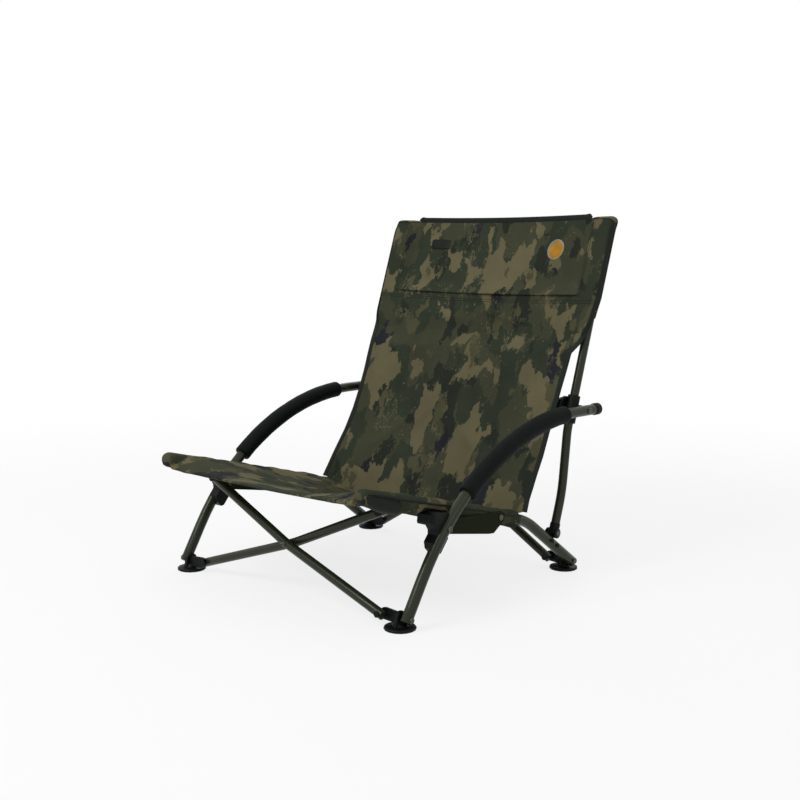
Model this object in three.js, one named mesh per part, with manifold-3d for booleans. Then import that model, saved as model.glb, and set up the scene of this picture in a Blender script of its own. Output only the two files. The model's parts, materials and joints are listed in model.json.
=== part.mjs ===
// Low carp fishing chair: bent-tube side frames, two crossed tube pairs, and a cloth sling.
// Millimetres, +Z up, the sitter faces -Y and +X is the sitter's left.
// Side-view places are written as (y, z), measured from the front feet on the ground.
import * as THREE from 'three';
import { mergeVertices } from 'three/addons/utils/BufferGeometryUtils.js';
import Module from 'manifold-3d';

const wasm = await Module();
wasm.setup();

// General fits and facets
const running_gap = 0.3;
const cut_overrun = 2;
const fuse_depth = 1;
const tube_sides = 14;
const round_sides = 16;
const pin_sides = 10;
const degree = Math.PI / 180;

// Tubes
const leg_tube_radius = 9.5;
const rail_tube_radius = 9.5;
const post_tube_radius = 8;
const x_tube_radius = 8;

// Rivets
const rivet_radius = 3;
const rivet_head_radius = 5.5;
const rivet_head_height = 2;
const arm_rivet_head_radius = 6.5;

// Front leg and arm, one bent tube
const foot_pivot_height = 18.5;
const leg_foot_x = 274.5;
const leg_corner_x = 279;
const leg_slope = 58.66 * degree;
const leg_end_run = 6;
const leg_bend_radius = 468;
const leg_bend_steps = 12;
const arm_height = 298.8;
const arm_rear_x = 288;
const arm_rear_y = 503;
const grip_start_run = 226.7;
const grip_rear_run = 85.10344;
const grip_radius = 15.5;
const arm_cap_radius = 11;
const arm_cap_length = 14;
const arm_cap_wall = 3;
const arm_cap_rounding = 1.5;

// Seat rail and rear leg, one bent tube
const rail_tip_x = 240;
const rail_corner_x = 254;
const rail_foot_x = 261;
const rail_tip_y = -62;
const rail_tip_z = 216;
const rail_corner_y = 334.7;
const rail_slope = 14.4 * degree;
const rail_bend_radius = 120;
const rail_bend_steps = 5;
const rear_foot_y = 466;
const rear_leg_end_run = 6;
const tip_plug_radius = 10;
const tip_plug_length = 5;
const rail_pivot_y = 246;
const rail_collar_y = 229;
const rail_collar_wall = 2.2;
const rail_collar_length = 8;
const seat_loop_y = 284;
const seat_loop_wall = 1.6;
const seat_loop_length = 24;

// Back post
const post_x = 257;
const post_pivot_run = 87.3;
const post_pivot_rise = 19;
const post_low_y = 441;
const post_low_z = 150;
const post_mid_y = 455;
const post_bend_drop = 36.8;
const post_top_z = 638;
const post_lean = 18.6 * degree;
const post_low_bend_radius = 260;
const post_mid_bend_radius = 115;
const post_bend_steps = 4;
const post_shoe_wall = 1;
const post_shoe_run = 18;
const post_cap_wall = 1.4;
const post_cap_length = 14;
const post_bracket_thickness = 3;
const post_bracket_gap = 1;
const post_bracket_radius = 8.5;
const post_bracket_spread = 10;
const stud_radius = 2.5;
const stud_head_radius = 4.2;
const stud_head_height = 1.4;

// Feet
const front_foot_x = 260;
const rear_foot_x = 246;
const foot_radius = 26;
const foot_rim_height = 3.5;
const foot_rim_rounding = 1.2;
const foot_dish_height = 5.2;
const foot_dome_radius = 13;
const foot_dome_height = 12;
const foot_cheek_radius = 11.5;
const foot_cheek_thickness = 6;
const front_cheek_gap = 0.5;
const rear_cheek_gap = 1.2;
const foot_swing_gap = 0.5;
const foot_cheek_base = 15;

// Crossed tubes
const front_cross_foot_x = 226;
const front_cross_low_angle = 18 * degree;
const front_cross_high_angle = 23.2 * degree;
const front_cross_top_run = 217.4;
const front_knuckle_y = 21.5;
const rear_cross_foot_x = 215;
const rear_cross_angle = 30.7 * degree;
const cross_end_run = 6;
const cross_bend_radius = 300;
const cross_bend_steps = 2;
const ear_radius = 9.5;
const ear_thickness = 5.5;
const ear_root_depth = 11;
const ear_root_rise = 7;
const knuckle_face_gap = 1;
const knuckle_boss_radius = 9.5;
const knuckle_boss_length = 11;
const knuckle_disc_radius = 20;
const knuckle_disc_thickness = 7;

// Arm slider on the back post
const slider_wall = 3.1;
const slider_bore_gap = 0.4;
const slider_length = 50;
const slider_disc_radius = 23;
const slider_disc_thickness = 6.5;
const slider_disc_rounding = 1.5;
const slider_boss_radius = 9;
const slider_face_gap = 0.5;

// Leg hub and side plate
const hub_front_y = 57;
const hub_length = 66;
const hub_bottom_z = 108;
const hub_height = 68;
const hub_inner_x = 257;
const hub_cradle_x = 240;
const hub_cradle_bottom_z = 154.5;
const hub_rivet_run = 157;
const hub_rail_gap = 0.5;
const plate_leg_gap = 0.397226;
const plate_thickness = 3;
const plate_depth = 30;
const plate_end_radius = 11;

// Cloth
const cloth_thickness = 1.6;
const seat_front_y = -69;
const seat_back_gap = 3.4;
const seat_lift = 14;
const seat_overhang = 7;
const seat_front_sag = 27;
const seat_rear_sag = 44;
const seat_fold_height = 2.4;
const seat_fold_waves = 3;
const seat_columns = 22;
const seat_rows = 14;
const hang_share = 0.93;
const hang_power = 1.3;
const back_depth = 242.8;
const back_bottom_z = 129;
const back_post_lag = 0.9793339;
const back_top_z = 643;
const back_half_width = 270;
const back_sag = 20;
const back_fold_height = 2.6;
const back_fold_waves = 5;
const back_columns = 18;
const back_rows = 20;
const crease_share = 0.3;
const turn_share = 0.9;
const turn_columns = 3;
const edge_angle = 9 * degree;
const sleeve_radius = 11.5;
const sleeve_seam_x = 208;
const sleeve_seam_width = 24;
const layer_gap = 1.7;
const head_bottom_share = 0.716;
const head_blend_share = 0.06;
const head_rows = 9;
const hood_turn_share = 0.7;
const hood_lift = 1.1;
const pocket_inner_gap = 1.2;
const pocket_wall = 1.4;
const pocket_length = 58;
const normal_probe = 1e-3;

// Outlines drawn by hand as shares of the sizes above: along, then up
const hub_outline_shares = [
  [0.2, 0], [0.42, 0.02], [0.98, 0.44], [1, 0.58], [0.98, 0.86], [0.1, 1], [0, 0.93],
  [0.02, 0.74], [0.17, 0.56], [0.17, 0.46], [0.03, 0.3], [0.06, 0.14],
];
const plate_lower_edge_shares = [[0.24, 0.3], [0.42, 0.5], [0.8, 1], [0.9, 1]];
// Back edge: height, half width and depth, each as a share of the back's own size
const back_edge_shares = [
  [0, 0.978, 0], [0.041, 0.978, 0.06], [0.08, 0.967, 0.11], [0.12, 0.956, 0.159],
  [0.177, 0.939, 0.229], [0.255, 0.926, 0.309], [0.333, 0.919, 0.381], [0.41, 0.919, 0.447],
  [0.469, 0.922, 0.493], [0.527, 0.926, 0.542], [0.566, 0.963, 0.624], [0.605, 0.981, 0.678],
  [0.644, 0.993, 0.723], [0.683, 0.996, 0.76], [0.716, 1, 0.793], [1, 1, 1],
];

const material = (name, color, roughness, metalness) =>
  Object.assign(new THREE.MeshStandardMaterial({ color, roughness, metalness }), { name });
const tube_paint = material('tube_paint', 0x4b4a35, 0.42, 0.35);
const plate_paint = material('plate_paint', 0x45442f, 0.5, 0.3);
const black_plastic = material('black_plastic', 0x17181a, 0.55, 0);
const rivet_steel = material('rivet_steel', 0x3a3a33, 0.4, 0.7);
const foam = material('foam', 0x1c2024, 0.9, 0);
const camo_cloth = material('camo_cloth', 0x4a4634, 0.85, 0);
const webbing = material('webbing', 0x262b22, 0.85, 0);

const vec = (x, y, z) => new THREE.Vector3(x, y, z);
const mix = (a, b, t) => a + (b - a) * t;

// Joins and cuts
function solidOf(geometry) {
  const bare = new THREE.BufferGeometry();
  bare.setAttribute('position', geometry.getAttribute('position').clone());
  if (geometry.index) bare.setIndex(geometry.index.clone());
  const merged = mergeVertices(bare);
  return new wasm.Manifold(new wasm.Mesh({
    numProp: 3,
    vertProperties: new Float32Array(merged.getAttribute('position').array),
    triVerts: new Uint32Array(merged.index.array),
  }));
}

function geometryOf(manifold) {
  const mesh = manifold.getMesh();
  const geometry = new THREE.BufferGeometry();
  geometry.setAttribute('position', new THREE.BufferAttribute(mesh.vertProperties, 3));
  geometry.setIndex(new THREE.BufferAttribute(mesh.triVerts, 1));
  geometry.computeVertexNormals();
  return geometry;
}

function joined(...geometries) {
  return geometryOf(geometries.map(solidOf).reduce((sum, next) => sum.add(next)));
}

function cut(geometry, ...tools) {
  return geometryOf(tools.map(solidOf).reduce((rest, tool) => rest.subtract(tool), solidOf(geometry)));
}

function mirrored(geometry) {
  const copy = geometry.index ? geometry.toNonIndexed() : geometry.clone();
  copy.applyMatrix4(new THREE.Matrix4().makeScale(-1, 1, 1));
  const position = copy.getAttribute('position');
  for (let first = 0; first < position.count; first += 3) {
    const second = vec(0, 0, 0).fromBufferAttribute(position, first + 1);
    const third = vec(0, 0, 0).fromBufferAttribute(position, first + 2);
    position.setXYZ(first + 1, third.x, third.y, third.z);
    position.setXYZ(first + 2, second.x, second.y, second.z);
  }
  copy.computeVertexNormals();
  return copy;
}

// A bent tube's centreline: straight runs joined by round bends at the named corners
class BendCurve extends THREE.Curve {
  constructor(before, corner, after, radius) {
    super();
    const into = corner.clone().sub(before).normalize();
    const out = after.clone().sub(corner).normalize();
    this.turn = into.angleTo(out);
    this.setback = radius * Math.tan(this.turn / 2);
    this.start = corner.clone().addScaledVector(into, -this.setback);
    this.end = corner.clone().addScaledVector(out, this.setback);
    this.axis = into.clone().cross(out).normalize();
    const inward = this.axis.clone().cross(into);
    this.centre = this.start.clone().addScaledVector(inward, radius);
    this.arm = this.start.clone().sub(this.centre);
  }

  getPoint(t, target = new THREE.Vector3()) {
    return target.copy(this.arm).applyAxisAngle(this.axis, this.turn * t).add(this.centre);
  }
}

// A centreline with the places of its rings: the ends of straight runs and even steps round bends
class TubeLine extends THREE.Curve {
  constructor(path, rings) {
    super();
    this.path = path;
    this.rings = rings;
  }

  shareAt(u) {
    const last = this.rings.length - 1;
    const low = Math.min(Math.floor(u * last), last - 1);
    return mix(this.rings[low], this.rings[low + 1], u * last - low) / this.path.getLength();
  }

  getPointAt(u, target = new THREE.Vector3()) {
    return target.copy(this.path.getPoint(this.shareAt(u)));
  }

  getTangentAt(u, target = new THREE.Vector3()) {
    return target.copy(this.path.getTangent(this.shareAt(u)));
  }

  at(run) {
    return this.path.getPoint(run / this.path.getLength());
  }

  between(from, to) {
    const inner = this.rings.filter((run) => run > from && run < to);
    return new TubeLine(this.path, [from, ...inner, to]);
  }
}

function bentLine(corners, radii, bend_steps) {
  const path = new THREE.CurvePath();
  const rings = [0];
  let from = corners[0];
  radii.forEach((radius, index) => {
    const bend = new BendCurve(from, corners[index + 1], corners[index + 2], radius);
    const start = rings[rings.length - 1] + from.distanceTo(bend.start);
    path.add(new THREE.LineCurve3(from, bend.start));
    path.add(bend);
    for (let step = 0; step <= bend_steps; step += 1) {
      rings.push(start + (radius * bend.turn * step) / bend_steps);
    }
    from = bend.end;
  });
  path.add(new THREE.LineCurve3(from, corners[corners.length - 1]));
  rings.push(path.getLength());
  return new TubeLine(path, rings);
}

function tubeAlong(line, radius, bore = 0) {
  const section = new THREE.Shape().absarc(0, 0, radius, 0, 2 * Math.PI, false);
  if (bore > 0) section.holes.push(new THREE.Path().absarc(0, 0, bore, 0, 2 * Math.PI, true));
  const steps = line.rings.length - 1;
  return new THREE.ExtrudeGeometry(section, { steps, curveSegments: tube_sides / 2, extrudePath: line });
}

// A round bar or a turned piece between two places
function turned(profile, from, to, sides = round_sides) {
  const geometry = new THREE.LatheGeometry(profile.map(([r, h]) => new THREE.Vector2(r, h)), sides);
  const along = to.clone().sub(from).normalize();
  const turn = new THREE.Quaternion().setFromUnitVectors(vec(0, 1, 0), along);
  return geometry.applyQuaternion(turn).translate(from.x, from.y, from.z);
}

function rod(from, to, radius, sides = pin_sides) {
  const length = from.distanceTo(to);
  return turned([[0, 0], [radius, 0], [radius, length], [0, length]], from, to, sides);
}

function ring(from, to, bore, radius, sides = round_sides) {
  const length = from.distanceTo(to);
  const profile = [[bore, 0], [radius, 0], [radius, length], [bore, length], [bore, 0]];
  return turned(profile, from, to, sides);
}

function cup(from, to, bore, radius, wall, rounding) {
  const length = from.distanceTo(to);
  const profile = [
    [0, 0], [radius - rounding, 0], [radius, rounding], [radius, length],
    [bore, length], [bore, wall], [0, wall],
  ];
  return turned(profile, from, to);
}

// A rivet whose heads bear on the outer faces at from and to
function rivet(from, to) {
  const length = from.distanceTo(to);
  const under = running_gap;
  const crown = under + rivet_head_height;
  const rim = rivet_head_radius;
  const top = rim - rivet_head_height / 2;
  const profile = [
    [0, -crown], [top, -crown], [rim, -crown / 2], [rim, -under], [rivet_radius, -under],
    [rivet_radius, length + under], [rim, length + under], [rim, length + crown / 2],
    [top, length + crown], [0, length + crown],
  ];
  return turned(profile, from, to, pin_sides);
}

// A pin with its head on the outer face at to, and a plain end at from
function headedPin(from, to, head_radius = rivet_head_radius) {
  const under = from.distanceTo(to) + running_gap;
  const crown = under + rivet_head_height;
  return turned([
    [0, 0], [rivet_radius, 0], [rivet_radius, under], [head_radius, under],
    [head_radius, under + rivet_head_height / 2],
    [head_radius - rivet_head_height / 2, crown], [0, crown],
  ], from, to, pin_sides);
}

const rivetHole = (from, to) => {
  const along = to.clone().sub(from).normalize();
  const start = from.clone().addScaledVector(along, -cut_overrun);
  const end = to.clone().addScaledVector(along, cut_overrun);
  return rod(start, end, rivet_radius + running_gap);
};

// Outline of a lug: the convex line round its bosses and corners
function circlePoints(y, z, radius, count = round_sides) {
  const points = [];
  for (let i = 0; i < count; i += 1) {
    const angle = (2 * Math.PI * i) / count;
    points.push([y + radius * Math.cos(angle), z + radius * Math.sin(angle)]);
  }
  return points;
}

function hullShape(points) {
  const sorted = [...points].sort((a, b) => a[0] - b[0] || a[1] - b[1]);
  const crossing = (o, a, b) => (a[0] - o[0]) * (b[1] - o[1]) - (a[1] - o[1]) * (b[0] - o[0]);
  const chain = (list) => {
    const kept = [];
    list.forEach((point) => {
      while (kept.length > 1 && crossing(kept[kept.length - 2], kept[kept.length - 1], point) <= 0) {
        kept.pop();
      }
      kept.push(point);
    });
    kept.pop();
    return kept;
  };
  const hull = [...chain(sorted), ...chain(sorted.reverse())];
  return new THREE.Shape(hull.map(([a, b]) => new THREE.Vector2(a, b)));
}

// A side-view outline (y, z) given its thickness across the chair, from x0 to x1
function acrossX(shape, x0, x1) {
  const frame = new THREE.Matrix4().makeBasis(vec(0, 1, 0), vec(0, 0, 1), vec(1, 0, 0));
  const geometry = new THREE.ExtrudeGeometry(shape, { depth: x1 - x0, bevelEnabled: false });
  return geometry.applyMatrix4(frame).translate(x0, 0, 0);
}

// The leaning plane of a crossed pair: x across, w up the plane, n out of its front
function crossPlane(foot, top) {
  const up = vec(0, top.y - foot.y, top.z - foot.z).normalize();
  const front = vec(1, 0, 0).cross(up);
  const frame = new THREE.Matrix4().makeBasis(vec(1, 0, 0), up, front);
  frame.setPosition(0, foot.y, foot.z);
  const place = (x, w, n) => vec(x, w, n).applyMatrix4(frame);
  const plate = (shape, n0, n1) => {
    const low = Math.min(n0, n1);
    const geometry = new THREE.ExtrudeGeometry(shape, { depth: Math.abs(n1 - n0), bevelEnabled: false });
    return geometry.translate(0, 0, low).applyMatrix4(frame);
  };
  return { place, plate, height: Math.hypot(top.y - foot.y, top.z - foot.z) };
}

// Side-view places that several pieces share
const leg_pivot = vec(leg_foot_x, 0, foot_pivot_height);
const leg_direction = vec(0, Math.cos(leg_slope), Math.sin(leg_slope));
const leg_corner_run = (arm_height - foot_pivot_height) / Math.sin(leg_slope);
const leg_corner = vec(leg_corner_x, leg_direction.y * leg_corner_run, arm_height);
const arm_end = vec(arm_rear_x, arm_rear_y, arm_height);
const leg_foot_end = leg_pivot.clone().addScaledVector(leg_direction, -leg_end_run);
const leg_bends = bentLine([leg_foot_end, leg_corner, arm_end], [leg_bend_radius], leg_bend_steps);
const grip_span = [leg_end_run + grip_start_run, leg_bends.path.getLength() - grip_rear_run];
const leg_line = new TubeLine(leg_bends.path, [...leg_bends.rings, ...grip_span].sort((a, b) => a - b));

const railXAt = (y) => mix(rail_tip_x, rail_corner_x, (y - rail_tip_y) / (rail_corner_y - rail_tip_y));
const railZAt = (y) => rail_tip_z - (y - rail_tip_y) * Math.tan(rail_slope);
const railAt = (y) => vec(railXAt(y), y, railZAt(y));
const rail_corner = railAt(rail_corner_y);
const rear_pivot = vec(rail_foot_x, rear_foot_y, foot_pivot_height);
const rear_direction = rear_pivot.clone().sub(rail_corner).normalize();
const rear_leg_end = rear_pivot.clone().addScaledVector(rear_direction, rear_leg_end_run);
const rail_line = bentLine(
  [railAt(rail_tip_y), rail_corner, rear_leg_end], [rail_bend_radius], rail_bend_steps,
);
const rail_direction = rail_corner.clone().sub(railAt(rail_tip_y)).normalize();
const rail_pivot = railAt(rail_pivot_y);

const post_foot_on_rail = rail_corner.clone().addScaledVector(rear_direction, post_pivot_run);
const rear_side_run = Math.hypot(rear_direction.y, rear_direction.z);
const post_pivot = vec(
  post_x,
  post_foot_on_rail.y - (post_pivot_rise * rear_direction.z) / rear_side_run,
  post_foot_on_rail.z + (post_pivot_rise * rear_direction.y) / rear_side_run,
);
const post_mid_z = arm_height - post_bend_drop;
const postYAt = (z) => post_mid_y + (z - post_mid_z) * Math.tan(post_lean);
const back_top_y = postYAt(back_top_z) + back_post_lag;
const back_bottom_y = back_top_y - back_depth;
const seat_rear_y = back_bottom_y - seat_back_gap;
const post_top = vec(post_x, postYAt(post_top_z), post_top_z);
const post_low = vec(post_x, post_low_y, post_low_z);
const post_mid = vec(post_x, post_mid_y, post_mid_z);
const post_base_direction = post_low.clone().sub(post_pivot).normalize();
const post_line = bentLine(
  [post_pivot, post_low, post_mid, post_top],
  [post_low_bend_radius, post_mid_bend_radius], post_bend_steps,
);
const post_direction = post_top.clone().sub(post_mid).normalize();
const slider_pivot = vec(post_x, postYAt(arm_height), arm_height);

const armXAt = (y) => mix(leg_corner_x, arm_rear_x, (y - leg_corner.y) / (arm_rear_y - leg_corner.y));
const front_knuckle = railAt(front_knuckle_y);
const front_plane = crossPlane(vec(0, 0, foot_pivot_height), front_knuckle);
const rear_plane = crossPlane(vec(0, rear_foot_y, foot_pivot_height), slider_pivot);
const hub_rivet_place = leg_line.at(leg_end_run + hub_rivet_run);
const plate_inner_x = hub_rivet_place.x - leg_tube_radius - plate_leg_gap - plate_thickness;

// Side frame pieces
function acrossTube(centre, radius) {
  return [vec(centre.x - radius, centre.y, centre.z), vec(centre.x + radius, centre.y, centre.z)];
}

const foot_cheek_x0 = leg_foot_x - leg_tube_radius - front_cheek_gap - foot_cheek_thickness;
const rear_cheek_x0 = rail_foot_x - rail_tube_radius - rear_cheek_gap - foot_cheek_thickness;
const footPinSpan = (pivot, cheek_x0, radius) =>
  [vec(cheek_x0 + running_gap, pivot.y, pivot.z), vec(pivot.x + radius, pivot.y, pivot.z)];
const arm_rivet_span = acrossTube(vec(armXAt(slider_pivot.y), slider_pivot.y, arm_height), leg_tube_radius);
const hub_rivet_span = [
  vec(hub_inner_x, hub_rivet_place.y, hub_rivet_place.z),
  vec(hub_rivet_place.x + leg_tube_radius, hub_rivet_place.y, hub_rivet_place.z),
];
const plate_pin_span = [
  vec(rail_pivot.x - rail_tube_radius, rail_pivot.y, rail_pivot.z),
  vec(plate_inner_x + plate_thickness, rail_pivot.y, rail_pivot.z),
];

function legArmTube() {
  return cut(
    tubeAlong(leg_line, leg_tube_radius),
    rivetHole(...acrossTube(leg_pivot, leg_tube_radius)),
    rivetHole(...arm_rivet_span),
    rivetHole(...acrossTube(hub_rivet_place, leg_tube_radius)),
  );
}

function armGrip() {
  const bore = leg_tube_radius + running_gap;
  const run = leg_line.between(...grip_span);
  return tubeAlong(run, grip_radius, bore);
}

function armEndCap() {
  const along = arm_end.clone().sub(leg_corner).normalize();
  const outer = arm_end.clone().addScaledVector(along, arm_cap_wall + running_gap);
  const inner = outer.clone().addScaledVector(along, -arm_cap_length);
  const bore = leg_tube_radius + running_gap;
  return cup(outer, inner, bore, arm_cap_radius, arm_cap_wall, arm_cap_rounding);
}

function hubOutline() {
  const at = ([along, up]) => new THREE.Vector2(hub_front_y + along * hub_length, hub_bottom_z + up * hub_height);
  return new THREE.Shape(hub_outline_shares.map(at));
}

function plateShape(margin) {
  const start = hub_rivet_place;
  const length = rail_pivot.y - start.y;
  const lower = plate_lower_edge_shares.map(([along, down]) => [
    start.y + along * length, mix(start.z, rail_pivot.z, along) - down * plate_depth - margin]);
  return hullShape([
    ...circlePoints(start.y, start.z, plate_end_radius + margin),
    ...circlePoints(rail_pivot.y, rail_pivot.z, plate_end_radius + margin),
    ...lower,
  ]);
}

// Room for the rivet's inner head where the cradle would reach down to it
function headRelief([inner_end]) {
  const clear = rivet_head_height + 2 * running_gap;
  return rod(
    inner_end.clone().setX(inner_end.x - clear), inner_end.clone().setX(inner_end.x - running_gap / 2),
    rivet_head_radius + running_gap,
  );
}

function legHub() {
  const outer_x = leg_corner_x - fuse_depth;
  const body = acrossX(hubOutline(), hub_inner_x, outer_x);
  const floor = [[hub_front_y, hub_bottom_z], [hub_front_y + hub_length, hub_bottom_z]];
  const lower = floor.map(([y, z]) => [y, z - cut_overrun]);
  const upper = floor.map(([y]) => [y, hub_cradle_bottom_z]);
  const below = acrossX(
    hullShape([...lower, ...upper]), hub_cradle_x - cut_overrun, hub_inner_x,
  );
  const cradle = cut(acrossX(hubOutline(), hub_cradle_x, hub_inner_x + fuse_depth), below);
  const slot = acrossX(plateShape(running_gap), plate_inner_x - running_gap, outer_x + cut_overrun);
  const leg_seat = tubeAlong(leg_line, leg_tube_radius + running_gap);
  const rail_seat = tubeAlong(rail_line, rail_tube_radius + hub_rail_gap);
  return cut(
    joined(body, cradle), leg_seat, rail_seat, slot, rivetHole(...hub_rivet_span), headRelief(hub_rivet_span),
  );
}

function sidePlate() {
  return cut(
    acrossX(plateShape(0), plate_inner_x, plate_inner_x + plate_thickness),
    rivetHole(...hub_rivet_span),
    rivetHole(...plate_pin_span),
  );
}

// Foot: dished disc, a cheek beside the tube end, and an ear with its stud for the crossed tube
function foot(centre_x, centre_y, cheek_x0, ear_x, plane, layer) {
  const disc = turned([
    [0, 0], [foot_radius - foot_rim_rounding, 0], [foot_radius, foot_rim_rounding],
    [foot_radius, foot_rim_height], [foot_radius - foot_rim_rounding, foot_dish_height],
    [foot_dome_radius, foot_dish_height + foot_rim_rounding],
    [foot_dome_radius - foot_rim_height, foot_dome_height], [0, foot_dome_height],
  ], vec(centre_x, centre_y, 0), vec(centre_x, centre_y, foot_dome_height));
  const cheek_outline = hullShape([
    ...circlePoints(centre_y, foot_pivot_height, foot_cheek_radius),
    [centre_y - foot_cheek_base, foot_rim_height], [centre_y + foot_cheek_base, foot_rim_height],
  ]);
  const cheek = acrossX(cheek_outline, cheek_x0, cheek_x0 + foot_cheek_thickness);
  const ear_outline = hullShape([
    ...circlePoints(ear_x, 0, ear_radius),
    [cheek_x0 + fuse_depth, -ear_root_depth], [cheek_x0 + fuse_depth, ear_root_rise],
  ]);
  const ear = plane.plate(ear_outline, 0, -layer * ear_thickness);
  const pin_hole = rivetHole(
    vec(cheek_x0, centre_y, foot_pivot_height),
    vec(cheek_x0 + foot_cheek_thickness, centre_y, foot_pivot_height),
  );
  const swing_x0 = cheek_x0 + foot_cheek_thickness;
  const swing = rod(
    vec(swing_x0, centre_y, foot_pivot_height), vec(swing_x0 + foot_radius, centre_y, foot_pivot_height),
    Math.hypot(leg_tube_radius, leg_end_run) + foot_swing_gap, round_sides,
  );
  return joined(cut(joined(disc, cheek, ear), pin_hole, swing), ...crossStud(plane, ear_x, 0, layer));
}

// Stud of a foot or knuckle: it passes through the crossed tube and ends in a head
function crossStud(plane, x, w, layer) {
  const under_head = 2 * x_tube_radius + 2 * running_gap;
  const at = (n) => plane.place(x, w, layer * n);
  return [
    rod(at(-fuse_depth), at(under_head + fuse_depth), rivet_radius),
    rod(at(under_head), at(under_head + rivet_head_height), rivet_head_radius),
  ];
}

// Crossed tube pairs. Layer +1 lies in front of the plane, layer -1 behind it.
const front_cross = {
  plane: front_plane,
  foot_x: front_cross_foot_x,
  middle_w: front_cross_foot_x * Math.tan(front_cross_low_angle),
  top_x: front_cross_top_run * Math.cos(front_cross_high_angle),
  rise: front_cross_top_run * Math.sin(front_cross_high_angle),
};
front_cross.top_w = front_cross.middle_w + front_cross.rise;
const rear_cross = {
  plane: rear_plane,
  foot_x: rear_cross_foot_x,
  middle_w: rear_cross_foot_x * Math.tan(rear_cross_angle),
  top_x: rear_cross_foot_x,
};
rear_cross.top_w = 2 * rear_cross.middle_w;

function crossTube(pair, layer) {
  const n = layer * (x_tube_radius + running_gap);
  const foot_place = pair.plane.place(pair.foot_x, 0, n);
  const middle = pair.plane.place(0, pair.middle_w, n);
  const top = pair.plane.place(-pair.top_x, pair.top_w, n);
  const low = foot_place.clone().sub(middle).normalize();
  const high = top.clone().sub(middle).normalize();
  const start = foot_place.clone().addScaledVector(low, cross_end_run);
  const end = top.clone().addScaledVector(high, cross_end_run);
  const straight = low.angleTo(high) > Math.PI - normal_probe;
  const line = straight
    ? bentLine([start, end], [], 0)
    : bentLine([start, middle, end], [cross_bend_radius], cross_bend_steps);
  const tube = tubeAlong(line, x_tube_radius);
  const reach = x_tube_radius + cut_overrun;
  const hole = (x, w) => rod(
    pair.plane.place(x, w, n - reach), pair.plane.place(x, w, n + reach), rivet_radius + running_gap,
  );
  return cut(tube, hole(pair.foot_x, 0), hole(0, pair.middle_w), hole(-pair.top_x, pair.top_w));
}

const crossFace = (pair, n) => pair.plane.place(0, pair.middle_w, n);
const cross_outer_face = 2 * x_tube_radius + running_gap;

function frontCrossRivet() {
  return rivet(crossFace(front_cross, -cross_outer_face), crossFace(front_cross, cross_outer_face));
}

// The rear rivet is fixed in the front tube and ends flush where the two tubes face each other
function rearCrossRivet() {
  return headedPin(crossFace(rear_cross, running_gap), crossFace(rear_cross, cross_outer_face));
}

function knuckle(pair, layer, root_points, boss) {
  const outline = hullShape([...circlePoints(-pair.top_x, pair.top_w, ear_radius), ...root_points]);
  const ear = pair.plane.plate(outline, 0, -layer * ear_thickness);
  return joined(ear, boss, ...crossStud(pair.plane, -pair.top_x, pair.top_w, layer));
}

function frontKnuckle(layer) {
  const face_x = -(front_knuckle.x - rail_tube_radius - knuckle_face_gap);
  const inner_x = face_x + knuckle_boss_length;
  const w = front_plane.height;
  const boss = rod(
    front_plane.place(face_x, w, 0), front_plane.place(inner_x, w, 0), knuckle_boss_radius, round_sides,
  );
  const root = [
    [inner_x - fuse_depth, w - knuckle_boss_radius / 2], [inner_x - fuse_depth, w + knuckle_boss_radius / 2],
  ];
  return knuckle(front_cross, layer, root, boss);
}

const slider_inner_x = post_x - post_tube_radius - slider_bore_gap - slider_wall;
const slider_disc_x = slider_inner_x - slider_disc_thickness + fuse_depth;

function rearKnuckle(layer) {
  const face_x = -(slider_disc_x - slider_face_gap);
  const inner_x = face_x + knuckle_disc_thickness;
  const w = rear_plane.height;
  const disc = rod(
    rear_plane.place(face_x, w, 0), rear_plane.place(inner_x, w, 0), knuckle_disc_radius, round_sides,
  );
  const root = [
    [inner_x - fuse_depth, w - knuckle_disc_radius / 2], [inner_x - fuse_depth, w + knuckle_disc_radius / 2],
  ];
  return knuckle(rear_cross, layer, root, disc);
}

// Seat rail pieces
const railRing = (y, length, wall) => {
  const half = rail_direction.clone().multiplyScalar(length / 2);
  const centre = railAt(y);
  const bore = rail_tube_radius + running_gap;
  return ring(centre.clone().sub(half), centre.clone().add(half), bore, bore + wall);
};
const bracket_outer_x = post_foot_on_rail.x - rail_tube_radius - post_bracket_gap;
const bracketStuds = () => [-1, 1].map((end) =>
  post_foot_on_rail.clone().addScaledVector(rear_direction, end * post_bracket_spread));
const post_pin_span = [
  vec(bracket_outer_x - post_bracket_thickness, post_pivot.y, post_pivot.z),
  vec(post_x + post_tube_radius + running_gap + post_shoe_wall, post_pivot.y, post_pivot.z),
];

function studHole(place) {
  const reach = rail_tube_radius + cut_overrun;
  return rod(
    vec(place.x - reach, place.y, place.z), vec(place.x + reach, place.y, place.z), stud_radius + running_gap,
  );
}

function seatRail() {
  return cut(
    tubeAlong(rail_line, rail_tube_radius),
    rivetHole(...acrossTube(rail_pivot, rail_tube_radius)),
    rivetHole(...acrossTube(rear_pivot, rail_tube_radius)),
    ...bracketStuds().map(studHole),
  );
}

function railTipPlug() {
  const from = railAt(rail_tip_y).addScaledVector(rail_direction, -running_gap);
  const to = from.clone().addScaledVector(rail_direction, -tip_plug_length);
  return turned([
    [0, 0], [tip_plug_radius, 0], [tip_plug_radius, tip_plug_length / 2],
    [tip_plug_radius - tip_plug_length / 2, tip_plug_length], [0, tip_plug_length],
  ], from, to);
}

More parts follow.
